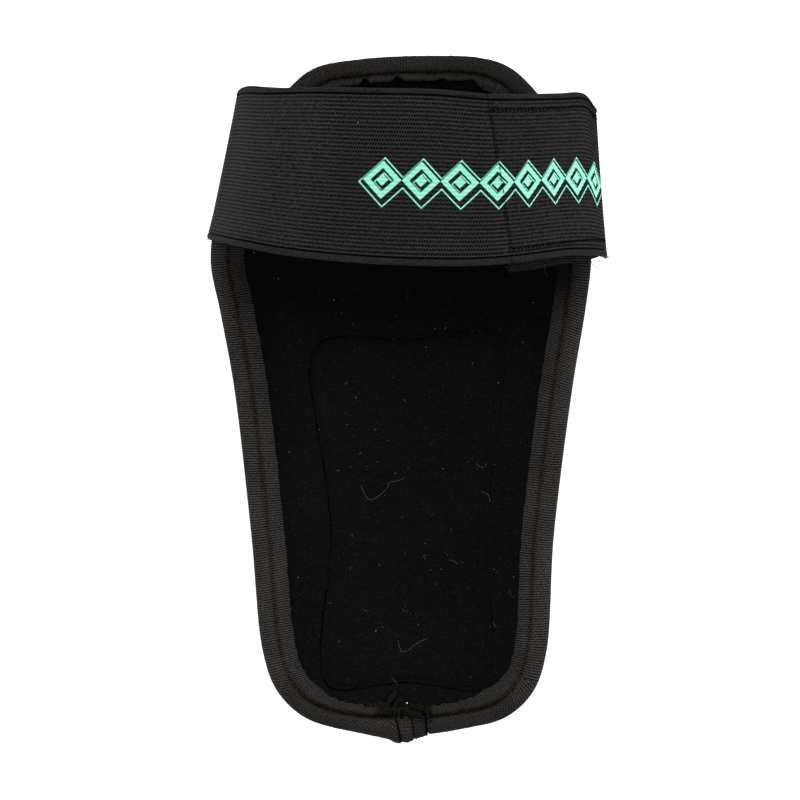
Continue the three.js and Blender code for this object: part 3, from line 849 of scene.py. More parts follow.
def sewing_thread():
    finish = Finish("sewing_thread", roughness=0.9, specular=0.03)
    finish.tint(colours().thread, finish.noise(2500, detail=1, seed=11) * 1.8 + 0.1)
    return finish


def lint_fibre():
    finish = Finish("lint_fibre", roughness=0.8, specular=0.2)
    finish.tint(colours().lint, finish.noise(220, detail=1, seed=13) * 1.6 + 0.2)
    return finish


def white_lint():
    finish = Finish("white_lint", roughness=0.7, specular=0.3)
    finish.tint((0.75, 0.78, 0.75), finish.noise(900, detail=1, seed=12) * 0.6 + 0.6)
    return finish


def frayed_yarn():
    finish = Finish("frayed_yarn", roughness=0.95, specular=0.03)
    twist = finish.noise(1500, detail=2, seed=15)
    patches = finish.ramp(finish.noise(420, detail=2, seed=18), 0.5, 0.62)
    rust = [c * share for c, share in zip(colours().fray, (1.14, 0.92, 0.86))]
    finish.set("Base Color", finish.mix(patches, finish.tinted(colours().fray, twist * 3.6 - 1.1),
                                        finish.tinted(rust, twist * 3.6 - 1.1)))
    finish.bump(twist, 0.15 * MM, 0.8)
    return finish


def hook_weave():
    finish = Finish("hook_weave", roughness=0.9, specular=0.02)
    u, v = finish.cloth_place()
    row = finish.math("FLOOR", v / (0.95 * MM))
    warp = finish.ramp(finish.sine(u / (1.15 * MM) + row * 0.5), -0.1, 0.9)
    weft = finish.ramp(finish.sine(v / (0.95 * MM) - 0.25), -0.3, 0.7)
    grain = finish.noise(1500, detail=2, seed=14)
    finish.tint(colours().hooks, 0.15 + warp * weft * grain * 7.5 + (grain - 0.4) * 1.2)
    finish.bump(warp * weft + grain * 0.4, 0.3 * MM, 0.9)
    return finish


PRINT_COUNT = 9
PRINT_PITCH = 13 * MM
PRINT_HALF_HEIGHT = 6.6 * MM
PRINT_MIDDLE = 28.9 * MM  # across the strap, from its toe edge
PRINT_START_X = -8.3 * MM
PRINT_STROKE = 1.9 * MM
PRINT_LINE = 0.62 * MM
MIDDLE_COLUMN = int(np.abs(STRAP.sides - 0.5).argmin())
ARCH_TOP = slice(120, 230)  # rows of the strap's grid
PRINT_START = float(np.interp(
    PRINT_START_X, STRAP.points[ARCH_TOP, MIDDLE_COLUMN, 0], STRAP.run[ARCH_TOP]))
LIVELY_START = PRINT_START - 32 * MM  # where the elastic's zigzag shows most
PATCH_LEAN = float(patch_line(1.0) - patch_line(0.0)) / STRAP_WIDTH
LIVELY_END = float(patch_line(0.0))


def print_motif(finish, u, v):
    """A chain of lozenge rings, each with a core, and thin lines set off from them all."""

    def lozenge(x, y):
        """Distance from the middle of a lozenge, which reaches PRINT_HALF_HEIGHT up and down."""
        wide = finish.math("ABSOLUTE", x) * (2 * PRINT_HALF_HEIGHT / PRINT_PITCH)
        return wide + finish.math("ABSOLUTE", y)

    def chain(x, y):
        cell = finish.math("ROUND", finish.math("MAXIMUM", x / PRINT_PITCH, 0.0))
        cell = finish.math("MINIMUM", cell, PRINT_COUNT - 1)
        return lozenge(x - cell * PRINT_PITCH, y)

    soft = 0.1 * MM
    along = u - PRINT_START
    across = v - PRINT_MIDDLE
    ring = chain(along, across)
    band = finish.math("ABSOLUTE", ring - (PRINT_HALF_HEIGHT - PRINT_STROKE * 0.7))
    solid = finish.ramp(band, PRINT_STROKE * 0.66 + soft, PRINT_STROKE * 0.66 - soft)
    core = finish.ramp(ring, 2.1 * MM + soft, 2.1 * MM - soft)
    outer = chain(along - 0.5 * MM, across + 0.9 * MM) - (PRINT_HALF_HEIGHT + 1.7 * MM)
    inner = chain(along - 0.5 * MM, across + 0.9 * MM) - (PRINT_HALF_HEIGHT - 3.4 * MM)
    line = finish.math("MINIMUM", finish.math("ABSOLUTE", outer), finish.math("ABSOLUTE", inner))
    line = finish.ramp(line, PRINT_LINE / 2 + soft, PRINT_LINE / 2 - soft)
    clear = finish.ramp(band, PRINT_STROKE * 0.66 + 0.35 * MM, PRINT_STROKE * 0.66 + 0.5 * MM)
    return finish.most(solid, core, line * clear)


def elastic_webbing():
    finish = Finish("elastic_webbing", roughness=0.92, specular=0.02)
    u, v = finish.cloth_place()
    toe, crown, _, pitch = webbing_ribs()
    lively = finish.ramp(u, LIVELY_START, LIVELY_START + 22 * MM)
    lively = lively * finish.ramp(u - v * PATCH_LEAN, LIVELY_END + 2 * MM, LIVELY_END - 5 * MM)
    rib = (v - toe) / pitch
    zigzag = finish.math("PINGPONG", u / (0.473 * MM), 1.0) - 0.5
    line = rib + zigzag * (0.2 + lively * 0.16)
    away = finish.math("ABSOLUTE", finish.math("FRACT", line + 0.5) - 0.5) * 2
    gap = finish.ramp(away, lively * 0.1 + 0.8, lively * 0.16 + 0.2)
    beads = finish.sine(u / (0.946 * MM) + finish.math("ROUND", rib) * 0.5)
    holes = gap * finish.ramp(beads, -0.75, 0.15)
    fuzz = finish.noise(1700, detail=3, stretch=(0.75, 1.2, 1), seed=16)
    clouds = finish.noise(42, detail=3, seed=17)
    ribbed = finish.ramp(v, toe - 0.1 * MM, toe + 0.1 * MM)
    ribbed = ribbed * finish.ramp(v, crown + 0.1 * MM, crown - 0.1 * MM)
    frayed = finish.noise(900, detail=3, stretch=(0.6, 1.6, 1), seed=20)
    on_patch = finish.ramp(u - v * PATCH_LEAN, LIVELY_END - 1 * MM, LIVELY_END + 2 * MM)
    shaded = (frayed * 1.5 - 0.2) * (1 - lively) + lively * 0.75
    light = 1.2 + lively * 0.44 - on_patch * 0.16 - gap * shaded
    light = light - holes * (0.25 + lively * 1.1) + (1 - gap) * beads * (0.2 + lively * 0.25)
    light = light + (fuzz - 0.5) * 3.4 + (clouds - 0.5) * 0.4

    # Painted shade: dark lines in the low strips beside both selvedges and in the crease at the hook
    # patch's edge. seams gathers these lines; it holds no stitching.
    def shade_line(place, reach):
        return finish.ramp(finish.math("ABSOLUTE", place), reach, reach * 0.3)

    patch_edge = u - v * PATCH_LEAN - LIVELY_END
    seams = finish.most(
        shade_line(v - toe, 0.55 * MM), shade_line(v - toe - 1.1 * MM, 0.3 * MM) * 0.5,
        shade_line(v - crown, 0.6 * MM), shade_line(patch_edge, 0.5 * MM) * 0.55,
    )
    plain = 0.75 + (finish.noise(3400, detail=2, seed=19) - 0.5) * 5 + (clouds - 0.5) * 0.5
    shade = (light * ribbed + plain * (1 - ribbed)) * (1 - seams * 0.95)
    webbing = finish.tinted(colours().elastic, finish.math("MAXIMUM", shade, 0.02))
    ink = print_motif(finish, u, v)
    covered = finish.ramp(gap, 0.95, 0.3) * 0.5 + 0.5
    inked = finish.mix(covered, [c * 0.55 for c in colours().print], colours().print)
    finish.set("Base Color", finish.mix(ink, webbing, inked))
    finish.set("Roughness", 0.92 - ink * 0.3)
    relief = (1 - gap) * 0.7 - holes * lively * 0.5 + fuzz * 0.35
    finish.bump(relief * (1 - ink * 0.6) * ribbed + fuzz * (1 - ribbed), 0.18 * MM, 0.9)
    return finish


# Stitches: one stitch is modelled once, and each seam is a row of its copies

def stitch_shape():
    """One short thread that dips into the cloth at both ends, one unit long along X."""
    in_object_mode()
    bpy.ops.mesh.primitive_cylinder_add(vertices=6, radius=0.5, depth=1, rotation=(0, math.pi / 2, 0))
    stitch = bpy.context.object
    bpy.ops.object.transform_apply(location=False, rotation=True, scale=False)
    bpy.ops.object.mode_set(mode="EDIT")
    bpy.ops.mesh.select_all(action="SELECT")
    cuts = 3
    for cut in range(cuts):
        bpy.ops.mesh.select_all(action="SELECT")
        bpy.ops.mesh.bisect(plane_co=((cut + 1) / (cuts + 1) - 0.5, 0, 0), plane_no=(1, 0, 0))
    bpy.ops.object.mode_set(mode="OBJECT")
    mesh = stitch.data
    points = np.array([v.co for v in mesh.vertices])
    ends = np.abs(points[:, 0]) * 2
    points[:, 1:] *= (1 - 0.5 * ends**4)[:, None]
    points[:, 2] += 0.5 * np.cos(ends * math.pi / 2) - 0.5
    faces = [list(p.vertices) for p in mesh.polygons]
    bpy.data.objects.remove(stitch)
    bpy.data.meshes.remove(mesh)
    return points, faces


STITCH_SHARE = 0.86  # of the way from one needle hole to the next


def sewn(points, normals, length, thickness, lean=0.0):
    """The stitches of one seam: its line is cut into stitches, as arrays of points and faces.
    lean turns each stitch out of the line, as a lock stitch does under tension."""
    run = travelled(points)
    count = max(1, round(run[-1] / length))
    stops = np.linspace(0, run[-1], count + 1)
    holes = np.stack([np.interp(stops, run, points[:, k]) for k in range(3)], axis=1)
    ups = unit(np.stack([np.interp(stops, run, normals[:, k]) for k in range(3)], axis=1))
    shape, faces = stitch_shape()
    made_points, made_faces = [], []
    for a, b, up in zip(holes, holes[1:], ups):
        across = unit(np.cross(up, b - a))
        along = (b - a) * math.cos(lean) + across * (np.linalg.norm(b - a) * math.sin(lean))
        across = unit(np.cross(up, along))
        up = unit(np.cross(along, across))
        placed = (a + b) / 2 + shape[:, :1] * along * STITCH_SHARE
        placed += shape[:, 1:2] * across * thickness + shape[:, 2:] * up * thickness
        start = len(made_points) * len(shape)
        made_points.append(placed)
        made_faces += [[i + start for i in face] for face in faces]
    return np.concatenate(made_points), made_faces


def joined(name, parts):
    """One mesh from several arrays of points and faces."""
    points, faces, start = [], [], 0
    for part_points, part_faces in parts:
        points.append(part_points)
        faces += [[i + start for i in face] for face in part_faces]
        start += len(part_points)
    mesh = bpy.data.meshes.new(name)
    mesh.from_pydata(np.concatenate(points), [], faces)
    for face in mesh.polygons:
        face.use_smooth = True
    piece = bpy.data.objects.new(name, mesh)
    bpy.context.scene.collection.objects.link(piece)
    return piece


def strand(points, radius, sides=5, flatness=1.0, taper=0.35):
    """A thread through points, as arrays of points and faces with closed ends."""
    along = unit(np.gradient(points, axis=0))
    helper = np.where(np.abs(along[:, 2:]) > 0.9, [[1.0, 0, 0]], [[0, 0, 1.0]])
    side = unit(np.cross(along, helper))
    up = np.cross(side, along)
    angles = 2 * math.pi * np.arange(sides) / sides
    width = np.zeros(len(points)) + radius
    width[[0, -1]] *= taper
    ring = side[:, None] * np.cos(angles)[:, None] + up[:, None] * (np.sin(angles) * flatness)[:, None]
    placed = points[:, None] + ring * width[:, None, None]
    faces = []
    for r in range(len(points) - 1):
        for i in range(sides):
            j = (i + 1) % sides
            faces.append([r * sides + i, r * sides + j, (r + 1) * sides + j, (r + 1) * sides + i])
    last = (len(points) - 1) * sides
    faces.append(list(range(sides))[::-1])
    faces.append([last + i for i in range(sides)])
    return placed.reshape(-1, 3), faces


def curved(knots, count=14):
    """A smooth line of points through a few knots."""
    return Spline(np.array(knots, float)).at(np.linspace(0, 1, count))


CURL_STEPS = 9


def curl_from(random, start, heading, length, bend):
    """The line of a loose thread that starts at a point and wanders off."""
    points, way = [np.array(start, float)], unit(np.array(heading, float))
    for _ in range(CURL_STEPS):
        way = unit(way + random.normal(0, bend, 3) * [1, 1, 0.5])
        points.append(points[-1] + way * length / CURL_STEPS)
    return np.array(points)


def seen_at(across, down, height):
    """The point at that height which the camera sees at a place in the picture, in pixels."""
    reach = (CAMERA_HEIGHT - height) / FOCAL_PIXELS
    x = CAMERA_PLACE[0] + (across - PICTURE / 2) * reach
    y = CAMERA_PLACE[1] - (down - PICTURE / 2) * reach
    return np.array([x, y, height])


# The pieces

FRONT_DEEPER = 1.3  # how much deeper the quilting is on the front
REST_SOFTNESS = 0.7 * MM  # how roundly the front goes over into its flat


def face_point(x, y, lift=0.0):
    """A place on the lining's face, in plan, that far off it."""
    swell = quilting(x, y, sizes().seam_depth, PANEL_PUFF)
    return dish_point(x, y, half_thickness(x, y) + swell + lift)


def front_point(x, y, lift=0.0):
    """A place on the front of the pad, pressed flat where it lies."""
    swell = quilting(x, y, sizes().seam_depth * FRONT_DEEPER, FRONT_PUFF)
    points = dish_point(x, y, -half_thickness(x, y) - swell - lift)
    z = points[..., 2]
    points[..., 2] = (z + np.sqrt(z**2 + REST_SOFTNESS**2)) / 2
    return points


class GUARD_OT_lining(bpy.types.Operator):
    """Lays the brushed lining over the leg's side of the pad"""

    bl_idname = "guard.lining"
    bl_label = "Lining"

    def execute(self, context):
        plan = plan_rings(Edge(even_shares(360)))
        x, y = plan[..., 0], plan[..., 1]
        face = face_point(x, y)
        back = dish_point(x, y, creased(x, y) - LINING_THICKNESS)
        flat = columns(girth(x, y), y)
        points = np.concatenate([face[:, ::-1], back], axis=1)
        places = np.concatenate([flat[:, ::-1], flat], axis=1)
        places = np.concatenate([places, places[:1]])
        piece = woven("lining_knit", points, places, loop_rows=True)
        made = np.array([v.co for v in piece.data.vertices])
        from_seam = piece.data.attributes.new("from_seam", "FLOAT", "POINT")
        from_seam.data.foreach_set("value", polygon_distance(made[:, 0], made[:, 1], PANEL_POLYGON))
        settle(piece, brushed_knit(), "lining", "lining")
        return {"FINISHED"}


class GUARD_OT_pad(bpy.types.Operator):
    """Makes the foam pad in its knitted cover, quilted on its front"""

    bl_idname = "guard.pad"
    bl_label = "Pad"

    def execute(self, context):
        edge = Edge(even_shares(360))
        plan = plan_rings(edge)
        x, y = plan[..., 0], plan[..., 1]
        top = LINING_THICKNESS + CLEARANCE
        inner = dish_point(x, y, creased(x, y) - top)
        middle = edge.point - edge.normal * (top / 2)
        nose = []
        for degrees in range(75, -90, -15):
            angle = math.radians(degrees)
            way = edge.outward * math.cos(angle) + edge.normal * math.sin(angle)
            nose.append(middle + EDGE_THICKNESS / 2 * way)
        nose = np.stack(nose, axis=1)
        front = front_point(x, y)
        flat = columns(girth(x, y), y)
        points = np.concatenate([inner[:, ::-1], nose, front], axis=1)
        side = np.repeat(flat[:, :1], nose.shape[1], axis=1)
        places = np.concatenate([flat[:, ::-1], side, flat], axis=1)
        places = np.concatenate([places, places[:1]])
        piece = woven("pad_cover", points, places, loop_rows=True)
        settle(piece, cover_knit(), "cover", "pad")
        return {"FINISHED"}


# Notches in the tape's inner edge at the crown: place along X, depth and width
CROWN_NOTCHES = [
    (-15.3 * MM, 2.3 * MM, 1.3 * MM), (-3.2 * MM, 2.0 * MM, 1.6 * MM),
    (13.4 * MM, 1.0 * MM, 1.4 * MM), (24.9 * MM, 1.0 * MM, 2.2 * MM),
]
CROWN_INSIDE = 3.5 * MM
TOE_INSIDE = 5 * MM


def fold_line(depth):
    """Where the tape's folded end starts along X: depth is 0 inside, 1 at the outer edge."""
    return FOLD_LEFT_INSIDE + (FOLD_LEFT_OUTSIDE - FOLD_LEFT_INSIDE) * depth


# The binding's section: shares of its inner leg, then of the way from the stitching to the
# edge line, degrees round the edge, and reaches of its front leg
INNER_LEG = (1, 0.995, 0.97, 0.92, 0.84, 0.74, 0.64, 0.54, 0.44, 0.34, 0.26, 0.19, 0.13, 0.08, 0.03, 0)
BESIDE_EDGE = (0.7, 0.4)
ROUND_EDGE = range(90, -91, -9)
FRONT_LEG = [reach * MM for reach in (0.2, 0.5, 0.9, 1.4, 2, 3, 4, 5, 5.7, 6)]
INNER_STITCHES = len(INNER_LEG) - 1
FRONT_STITCHES = len(INNER_LEG) + len(BESIDE_EDGE) + len(ROUND_EDGE) + 1
TAPE_PUFF = 0.35 * MM
FRONT_TAPE_PUFF = 0.25 * MM
FOLLOW = 0.25  # how much of the groove the tape's inner face takes up
# The rolled tape left of its folded end: place along X and rise, in mm
ROLL_PLACES = (-26, -18, -9.9, -6.2, -3.9, -1.7)
ROLL_RISES = (0, 0.3, 1.2, 1.9, 3.1, 3.3)
FOLD_GAP = 0.05 * MM
SUNK = 0.8 * MM  # how deep the tape lies below its folded end
# Where the tape's ribs lean: at the toe or not, place along X, width and lean
RIB_LEANS = [
    (False, 34 * MM, 16 * MM, 0.6), (True, -16 * MM, 26 * MM, 0.85), (True, 24 * MM, 18 * MM, 1.1),
]


def rounded_off(share):
    """How much the tape's leg is rounded off, over its last tenth."""
    return 35 * MM * max(0, share - 0.9) ** 2


class TapeShape:
    """The binding's section at each step of the edge, from its inner edge to its outer one."""

    def __init__(self):
        join = np.linspace(0.9835, 1, 46)[:-1]
        right = np.linspace(0.0095, 0.0145, 24)
        beside = 1e-5  # keeps the close steps at the folds off the even ones
        shares = np.sort(np.concatenate([even_shares(680), join + beside, right + beside]))
        self.edge = Edge(shares)
        self.arc = self.edge.arc()
        run, x, y = self.arc[:-1], self.edge.x, self.edge.y
        crown = smoothstep(y, 111 * MM, 117.5 * MM)
        toe = smoothstep(-y, 111 * MM, 115.5 * MM)
        self.gathered = np.maximum(crown, toe * 0.7)
        at_crown = CROWN_INSIDE + 2.6 * MM * smoothstep(x, 24 * MM, 33 * MM)
        self.inside = BINDING_INSIDE + (at_crown - BINDING_INSIDE) * crown
        self.inside += (TOE_INSIDE - BINDING_INSIDE) * toe
        self.inside += 0.22 * MM * ripple(run / (9 * MM), 21)
        self.inside += (0.25 * crown + 0.6 * toe) * MM * ripple(run / (9 * MM), 22)
        for place, depth, width in CROWN_NOTCHES:
            off = x - place
            self.inside -= depth * bell(off, width * np.where(off < 0, 1.4, 0.8)) * crown
        self.stitched = STITCH_INSIDE + 0.25 * MM * ripple(run / (13 * MM), 26) * (0.3 + self.gathered)
        self.pucker = (0.08 + 0.2 * self.gathered) * MM * ripple(run / (4.3 * MM), 23)
        self.at_toe = y < TOE_END_Y
        self.raised_left = np.interp(x / MM, ROLL_PLACES, ROLL_RISES) * MM * self.at_toe
        self.raised_right = 0.3 * MM * smoothstep(-x, -24 * MM, -7 * MM) * self.at_toe

    def groove(self, travel):
        """How far the stitching pulls the tape in, at a distance from it."""
        deep = sizes().tape_groove * (1 + 0.25 * ripple(self.arc[:-1] / (3.1 * MM), 25)) + self.pucker
        return deep * bell(travel, 1.0 * MM)

    def roll(self, depth):
        """How far the tape stands up beside its folded end, and how deep it lies below that."""
        x, left = self.edge.x, fold_line(depth) + FOLD_GAP
        on_left = self.raised_left * (x < left)
        on_right = self.raised_right * smoothstep(x, FOLD_RIGHT - 0.3 * MM, FOLD_RIGHT + 0.3 * MM)
        before = 1 - smoothstep(x, FOLD_RIGHT - 0.3 * MM, FOLD_RIGHT + 0.1 * MM)
        return on_left + on_right - SUNK * (x > left) * before * self.at_toe

    def lip(self, depth):
        """How far the roll's end leans over the folded end, along X."""
        x, left = self.edge.x, fold_line(depth)
        lean = smoothstep(x, left - 2.6 * MM, left - 0.1 * MM) * (x < left + FOLD_GAP) * self.at_toe
        return columns(LIP * lean, 0, 0)

    def inner_leg(self):
        """Rows from the tape's inner edge to the edge line: both faces and the way travelled."""
        roll = self.roll(0)

        def row(reach, travel, high):
            groove = self.groove(travel)
            outer = self.edge.leg(reach, TAPE_OUTER + high - groove) + self.lip(0)
            return outer, self.edge.leg(reach, TAPE_INNER - FOLLOW * groove + 0.2 * roll), travel

        for share in INNER_LEG:
            travel = (self.inside - self.stitched) * share
            puff = TAPE_PUFF * math.sin(math.pi * share * 1.15) ** 0.8 if share < 0.87 else 0
            lift = self.pucker * (math.sin(math.pi * share) + 0.8 * share)
            high = puff - rounded_off(share) + lift + 0.6 * roll * (1 - share * 0.6)
            outer, inner, travel = row(self.stitched + travel, travel, high)
            yield outer, inner, -travel
        for share in BESIDE_EDGE:
            reach = self.stitched * share
            yield row(reach, self.stitched - reach, 0.65 * roll)

    def round_edge(self):
        for degrees in ROUND_EDGE:
            angle = math.radians(degrees)
            travel = STITCH_INSIDE + TAPE_OUTER * (math.pi / 2 - angle)
            back = STITCH_INSIDE + TAPE_OUTER * (math.pi / 2 + angle)
            dent = self.groove(travel) + self.groove(back) * 0.8
            swell = TAPE_PUFF * math.cos(angle) ** 2 + 0.2 * self.pucker * math.cos(angle)
            depth = (90 - degrees) / FOLD_TURN
            roll = self.roll(depth) * (0.65 + 0.35 * max(0, math.cos(angle + 0.35)))
            if degrees < -30:
                roll = roll * (90 + degrees) / 60
            outer = self.edge.nose(angle, TAPE_OUTER + swell - dent + roll) + self.lip(depth)
            yield outer, self.edge.nose(angle, TAPE_INNER - FOLLOW * dent + 0.3 * roll), travel

    def front_leg(self):
        for reach in FRONT_LEG:
            share = reach / BINDING_OUTSIDE
            high = FRONT_TAPE_PUFF * math.sin(math.pi * min(1, share)) - rounded_off(share)
            dent = self.groove(reach - STITCH_INSIDE) * 0.8
            outer = self.edge.leg(reach, -TAPE_OUTER - high + dent)
            inner = self.edge.leg(reach, -TAPE_INNER + FOLLOW * dent)
            yield outer, inner, STITCH_INSIDE + TAPE_OUTER * math.pi + reach

    def faces(self):
        """Rows of points on both faces, and their places on the flat tape, whose ribs lean."""
        rows = [*self.inner_leg(), *self.round_edge(), *self.front_leg()]
        outer, inner = [np.stack([row[side] for row in rows], axis=1) for side in (0, 1)]
        v = np.stack([row[2] + 0 * self.inside for row in rows], axis=1)
        lean = 0.12 * ripple(self.arc[:-1] / (160 * MM), 24)
        for toe, place, width, amount in RIB_LEANS:
            on_end = self.at_toe if toe else self.edge.y > 0
            lean = lean + amount * bell(self.edge.x - place, width) * on_end
        flat = columns(self.arc[:-1, None] + lean[:, None] * v, v)
        closing = flat[:1] + np.array([self.arc[-1], 0])
        return outer, inner, np.concatenate([flat, closing])


class GUARD_OT_binding(bpy.types.Operator):
    """Folds the ribbed tape over the whole edge and sews it down"""

    bl_idname = "guard.binding"
    bl_label = "Binding"

    def execute(self, context):
        shape = TapeShape()
        outer, inner, flat = shape.faces()
        piece = sheet_mesh("binding_tape", outer, inner, flat, loop=True)
        settle(piece, ribbed_tape(), "binding", "binding")
        seams = []
        for column, side in ((INNER_STITCHES, 1), (FRONT_STITCHES, -1)):
            line = np.concatenate([outer[:, column], outer[:1, column]])
            normal = side * np.concatenate([shape.edge.normal, shape.edge.normal[:1]])
            sunk = sizes().thread * (0.5 * shape.gathered - 0.35)
            line = line + normal * np.concatenate([sunk, sunk[:1]])[:, None]
            seams.append(sewn(line, normal, sizes().stitch, sizes().thread, lean=0.12))
        threads = joined("binding_stitches", seams)
        settle(threads, sewing_thread(), "binding")
        return {"FINISHED"}


# How high the folded end stands at the outline: shares from its left, and mm off the edge
END_SHARES = (0, 0.33, 0.54, 0.58, 0.8, 1)
END_HEIGHTS = (2.8, 3.25, 2.4, 2.0, 1.25, 0.55)
END_FOLD = 0.55  # the share where a fold runs down it
END_PROUD = 0.35 * MM  # how far it stands off the tape on both faces
END_UNDER = TAPE_OUTER - 0.5 * MM
END_TUCK = 0.6 * MM  # how far it reaches under the roll


class JoinStep(Edge):
    """The edge beside its first point, carried straight on to other places along X."""

    def __init__(self, foot, x):
        self.x = x
        self.y = foot.y[0] + 0 * x
        self.out = np.repeat(foot.out[:1], len(x), axis=0)
        self.stand()


class GUARD_OT_join(bpy.types.Operator):
    """Folds the tape's end under at the toe, where it laps over the rest"""

    bl_idname = "guard.join"
    bl_label = "Binding join"

    def execute(self, context):
        rows = np.linspace(0, 1, 61)
        foot = Edge(np.array([0.0]))
        height = np.interp(rows, END_SHARES, END_HEIGHTS) * MM
        fold = 0.1 * MM * ripple(rows * 4, 41) - 0.7 * MM * bell(rows - END_FOLD, 0.03)
        outer, inner, flat = [], [], []

        def add(kind, place, depth, high, low, travel):
            left = fold_line(depth) - END_TUCK
            x = left + (FOLD_RIGHT - 0.1 * MM - left) * rows
            step = JoinStep(foot, x)
            for faces, offset in ((outer, high), (inner, low)):
                faces.append(getattr(step, kind)(place, offset + 0 * x))
            flat.append(columns(travel, x + END_PLACE))

        for reach in (1, 0.97, 0.9, 0.75, 0.55, 0.35, 0.15):
            rounding = 6.4 * MM * max(0, reach - 0.75) ** 2
            add("leg", reach * END_INSIDE * (1 + 0.2 * ripple(rows * 3, 42)), 0,
                TAPE_OUTER + END_PROUD + fold - rounding, END_UNDER, -reach * END_INSIDE)
        for degrees in ROUND_EDGE:
            angle = math.radians(degrees)
            proud = END_PROUD + (height - END_PROUD) * max(0.0, math.cos(angle + 0.35)) ** 0.8
            add("nose", angle, (90 - degrees) / FOLD_TURN, TAPE_OUTER + proud + fold, END_UNDER,
                TAPE_OUTER * (math.pi / 2 - angle))
        for reach in (0.2, 0.4, 0.6, 0.8, 0.95, 1):
            add("leg", reach * BINDING_OUTSIDE, 180 / FOLD_TURN, -TAPE_OUTER - 0.6 * MM,
                -TAPE_OUTER - 0.1 * MM, TAPE_OUTER * math.pi + reach * BINDING_OUTSIDE)
        outer, inner, flat = [np.stack(part, axis=1) for part in (outer, inner, flat)]
        piece = sheet_mesh("tape_end", outer, inner, flat)
        settle(piece, ribbed_tape("folded_tape", folded_end=True), "binding", "binding_join")
        frays()
        return {"FINISHED"}


def seen_on(across, down, surface):
    """The point of a surface over X and Y which the camera sees at a place in the picture."""
    plan = seen_at(across, down, 20 * MM)
    for _ in range(14):
        found = surface(plan[None, 0], plan[None, 1])[0]
        plan = plan + seen_at(across, down, found[2]) - found
    return found


def over_tape(lift):
    return lambda x, y: dish_point(x, y, 0 * x + lift)


YARNS = 17  # in a scrap of 1 mm half width
TIPS = 5
LOOSE_YARNS = 60


def frays():
    """The cut ends of the tape, which came loose above the join."""
    random = np.random.default_rng(61)
    threads = []
    for radius, knots in SCRAPS:
        line = curved([seen_on(x, y, over_tape(z * MM)) for x, y, z in knots], 18)
        place = np.linspace(0, 3, len(line))
        for _ in range(int(radius * YARNS)):
            wander = [radius * 0.42 * MM * ripple(place, int(random.integers(9999))) for _ in range(3)]
            offset = random.normal(0, radius * 0.42, 3) * MM * [1, 1, 0.5]
            yarn = line + offset + np.stack(wander, axis=1) * [1, 1, 0.4]
            threads.append(strand(yarn, random.uniform(0.12, 0.24) * MM, flatness=0.7))
        for _ in range(TIPS):
            heading = (line[-1] - line[-2]) * 2000 + random.normal(0, 0.5, 3)
            start = line[-1] + random.normal(0, 0.35, 3) * MM
            tip = curl_from(random, start, heading, random.uniform(0.5, 1.6) * MM, 0.35)
            threads.append(strand(tip, 0.08 * MM))
    for _ in range(LOOSE_YARNS):
        across, down = random.uniform(378, 430), random.uniform(704, 716)
        start = seen_on(across, down, over_tape(random.uniform(4, 5.2) * MM))
        heading = (random.normal(-0.3, 0.9), random.normal(0.3, 0.6), random.normal(0, 0.15))
        line = curl_from(random, start, heading, random.uniform(1, 3.2) * MM, 0.5)
        threads.append(strand(line, random.uniform(0.06, 0.11) * MM))
    bunch = joined("frayed_ends", threads)
    settle(bunch, frayed_yarn(), "binding")
    holes = []
    surface = over_tape(TAPE_OUTER + 1.1 * MM)
    for x, y, reach in HOLES:
        a, b = [seen_on(x + side * reach, y + side * 0.3, surface) for side in (-1, 1)]
        holes.append(strand(np.linspace(a, b, 5), 0.42 * MM, sides=8, flatness=0.6, taper=0.5))
    knots = joined("join_stitches", holes)
    settle(knots, sewing_thread(), "binding")


# Crumpled scraps of the tape above the join: half a width and knots (across, down, height)
SCRAPS = [
    (0.8, [(388, 712, 4.4), (386.5, 706, 4.5), (389, 700.5, 4.3), (393, 696, 4.2), (396, 692.5, 4)]),
    (0.8, [(393, 714, 4.8), (394, 708, 4.9), (397, 702, 4.8), (401, 699, 4.4), (403, 702, 4)]),
    (1.0, [(399, 715, 4.9), (399, 710, 5.1), (403, 706.5, 5), (407, 709.5, 4.8), (405, 714, 4.7)]),
    (1.0, [(408.5, 713, 4.8), (413, 713.5, 5.1), (419, 714.5, 5), (422, 717, 4.6)]),
    (0.8, [(418, 708.5, 4.5), (424, 709, 4.7), (428, 712.5, 4.7), (428, 717, 4.5)]),
    (0.8, [(381, 714, 4.3), (385, 711, 4.6), (391, 709.5, 4.8), (396, 712, 4.8)]),
    (0.8, [(373, 706.5, 4.2), (380, 704.5, 4.2), (387, 706, 4.4)]),
    (0.7, [(363, 706, 4.2), (369, 704.5, 4.2), (375, 706.5, 4.2)]),
    (0.7, [(409, 706.5, 4.3), (416, 705.5, 4.4), (424, 707, 4.3)]),
]
# Needle holes along the join's stitching: across, down and half a length, in pixels
HOLES = [
    (375, 717, 1.6), (381, 717.5, 0.8), (387, 717, 1.4), (394, 716.5, 0.8), (401.7, 717.7, 1.2),
    (409.3, 718.3, 1.2), (414, 718, 0.7), (420.7, 715.3, 1), (421, 720.7, 0.8), (425.3, 720.7, 1.2),
    (430.7, 721.3, 1.1), (426.5, 726, 0.6),
]


LAST_STATIONS = 5.6  # stations of a strap path from the end of the patch's seams to the end
PATCH_SEAMS = [(54.5 * MM, 0.6 * MM), (5.1 * MM, 1.5 * MM)]  # place across and rise to the right


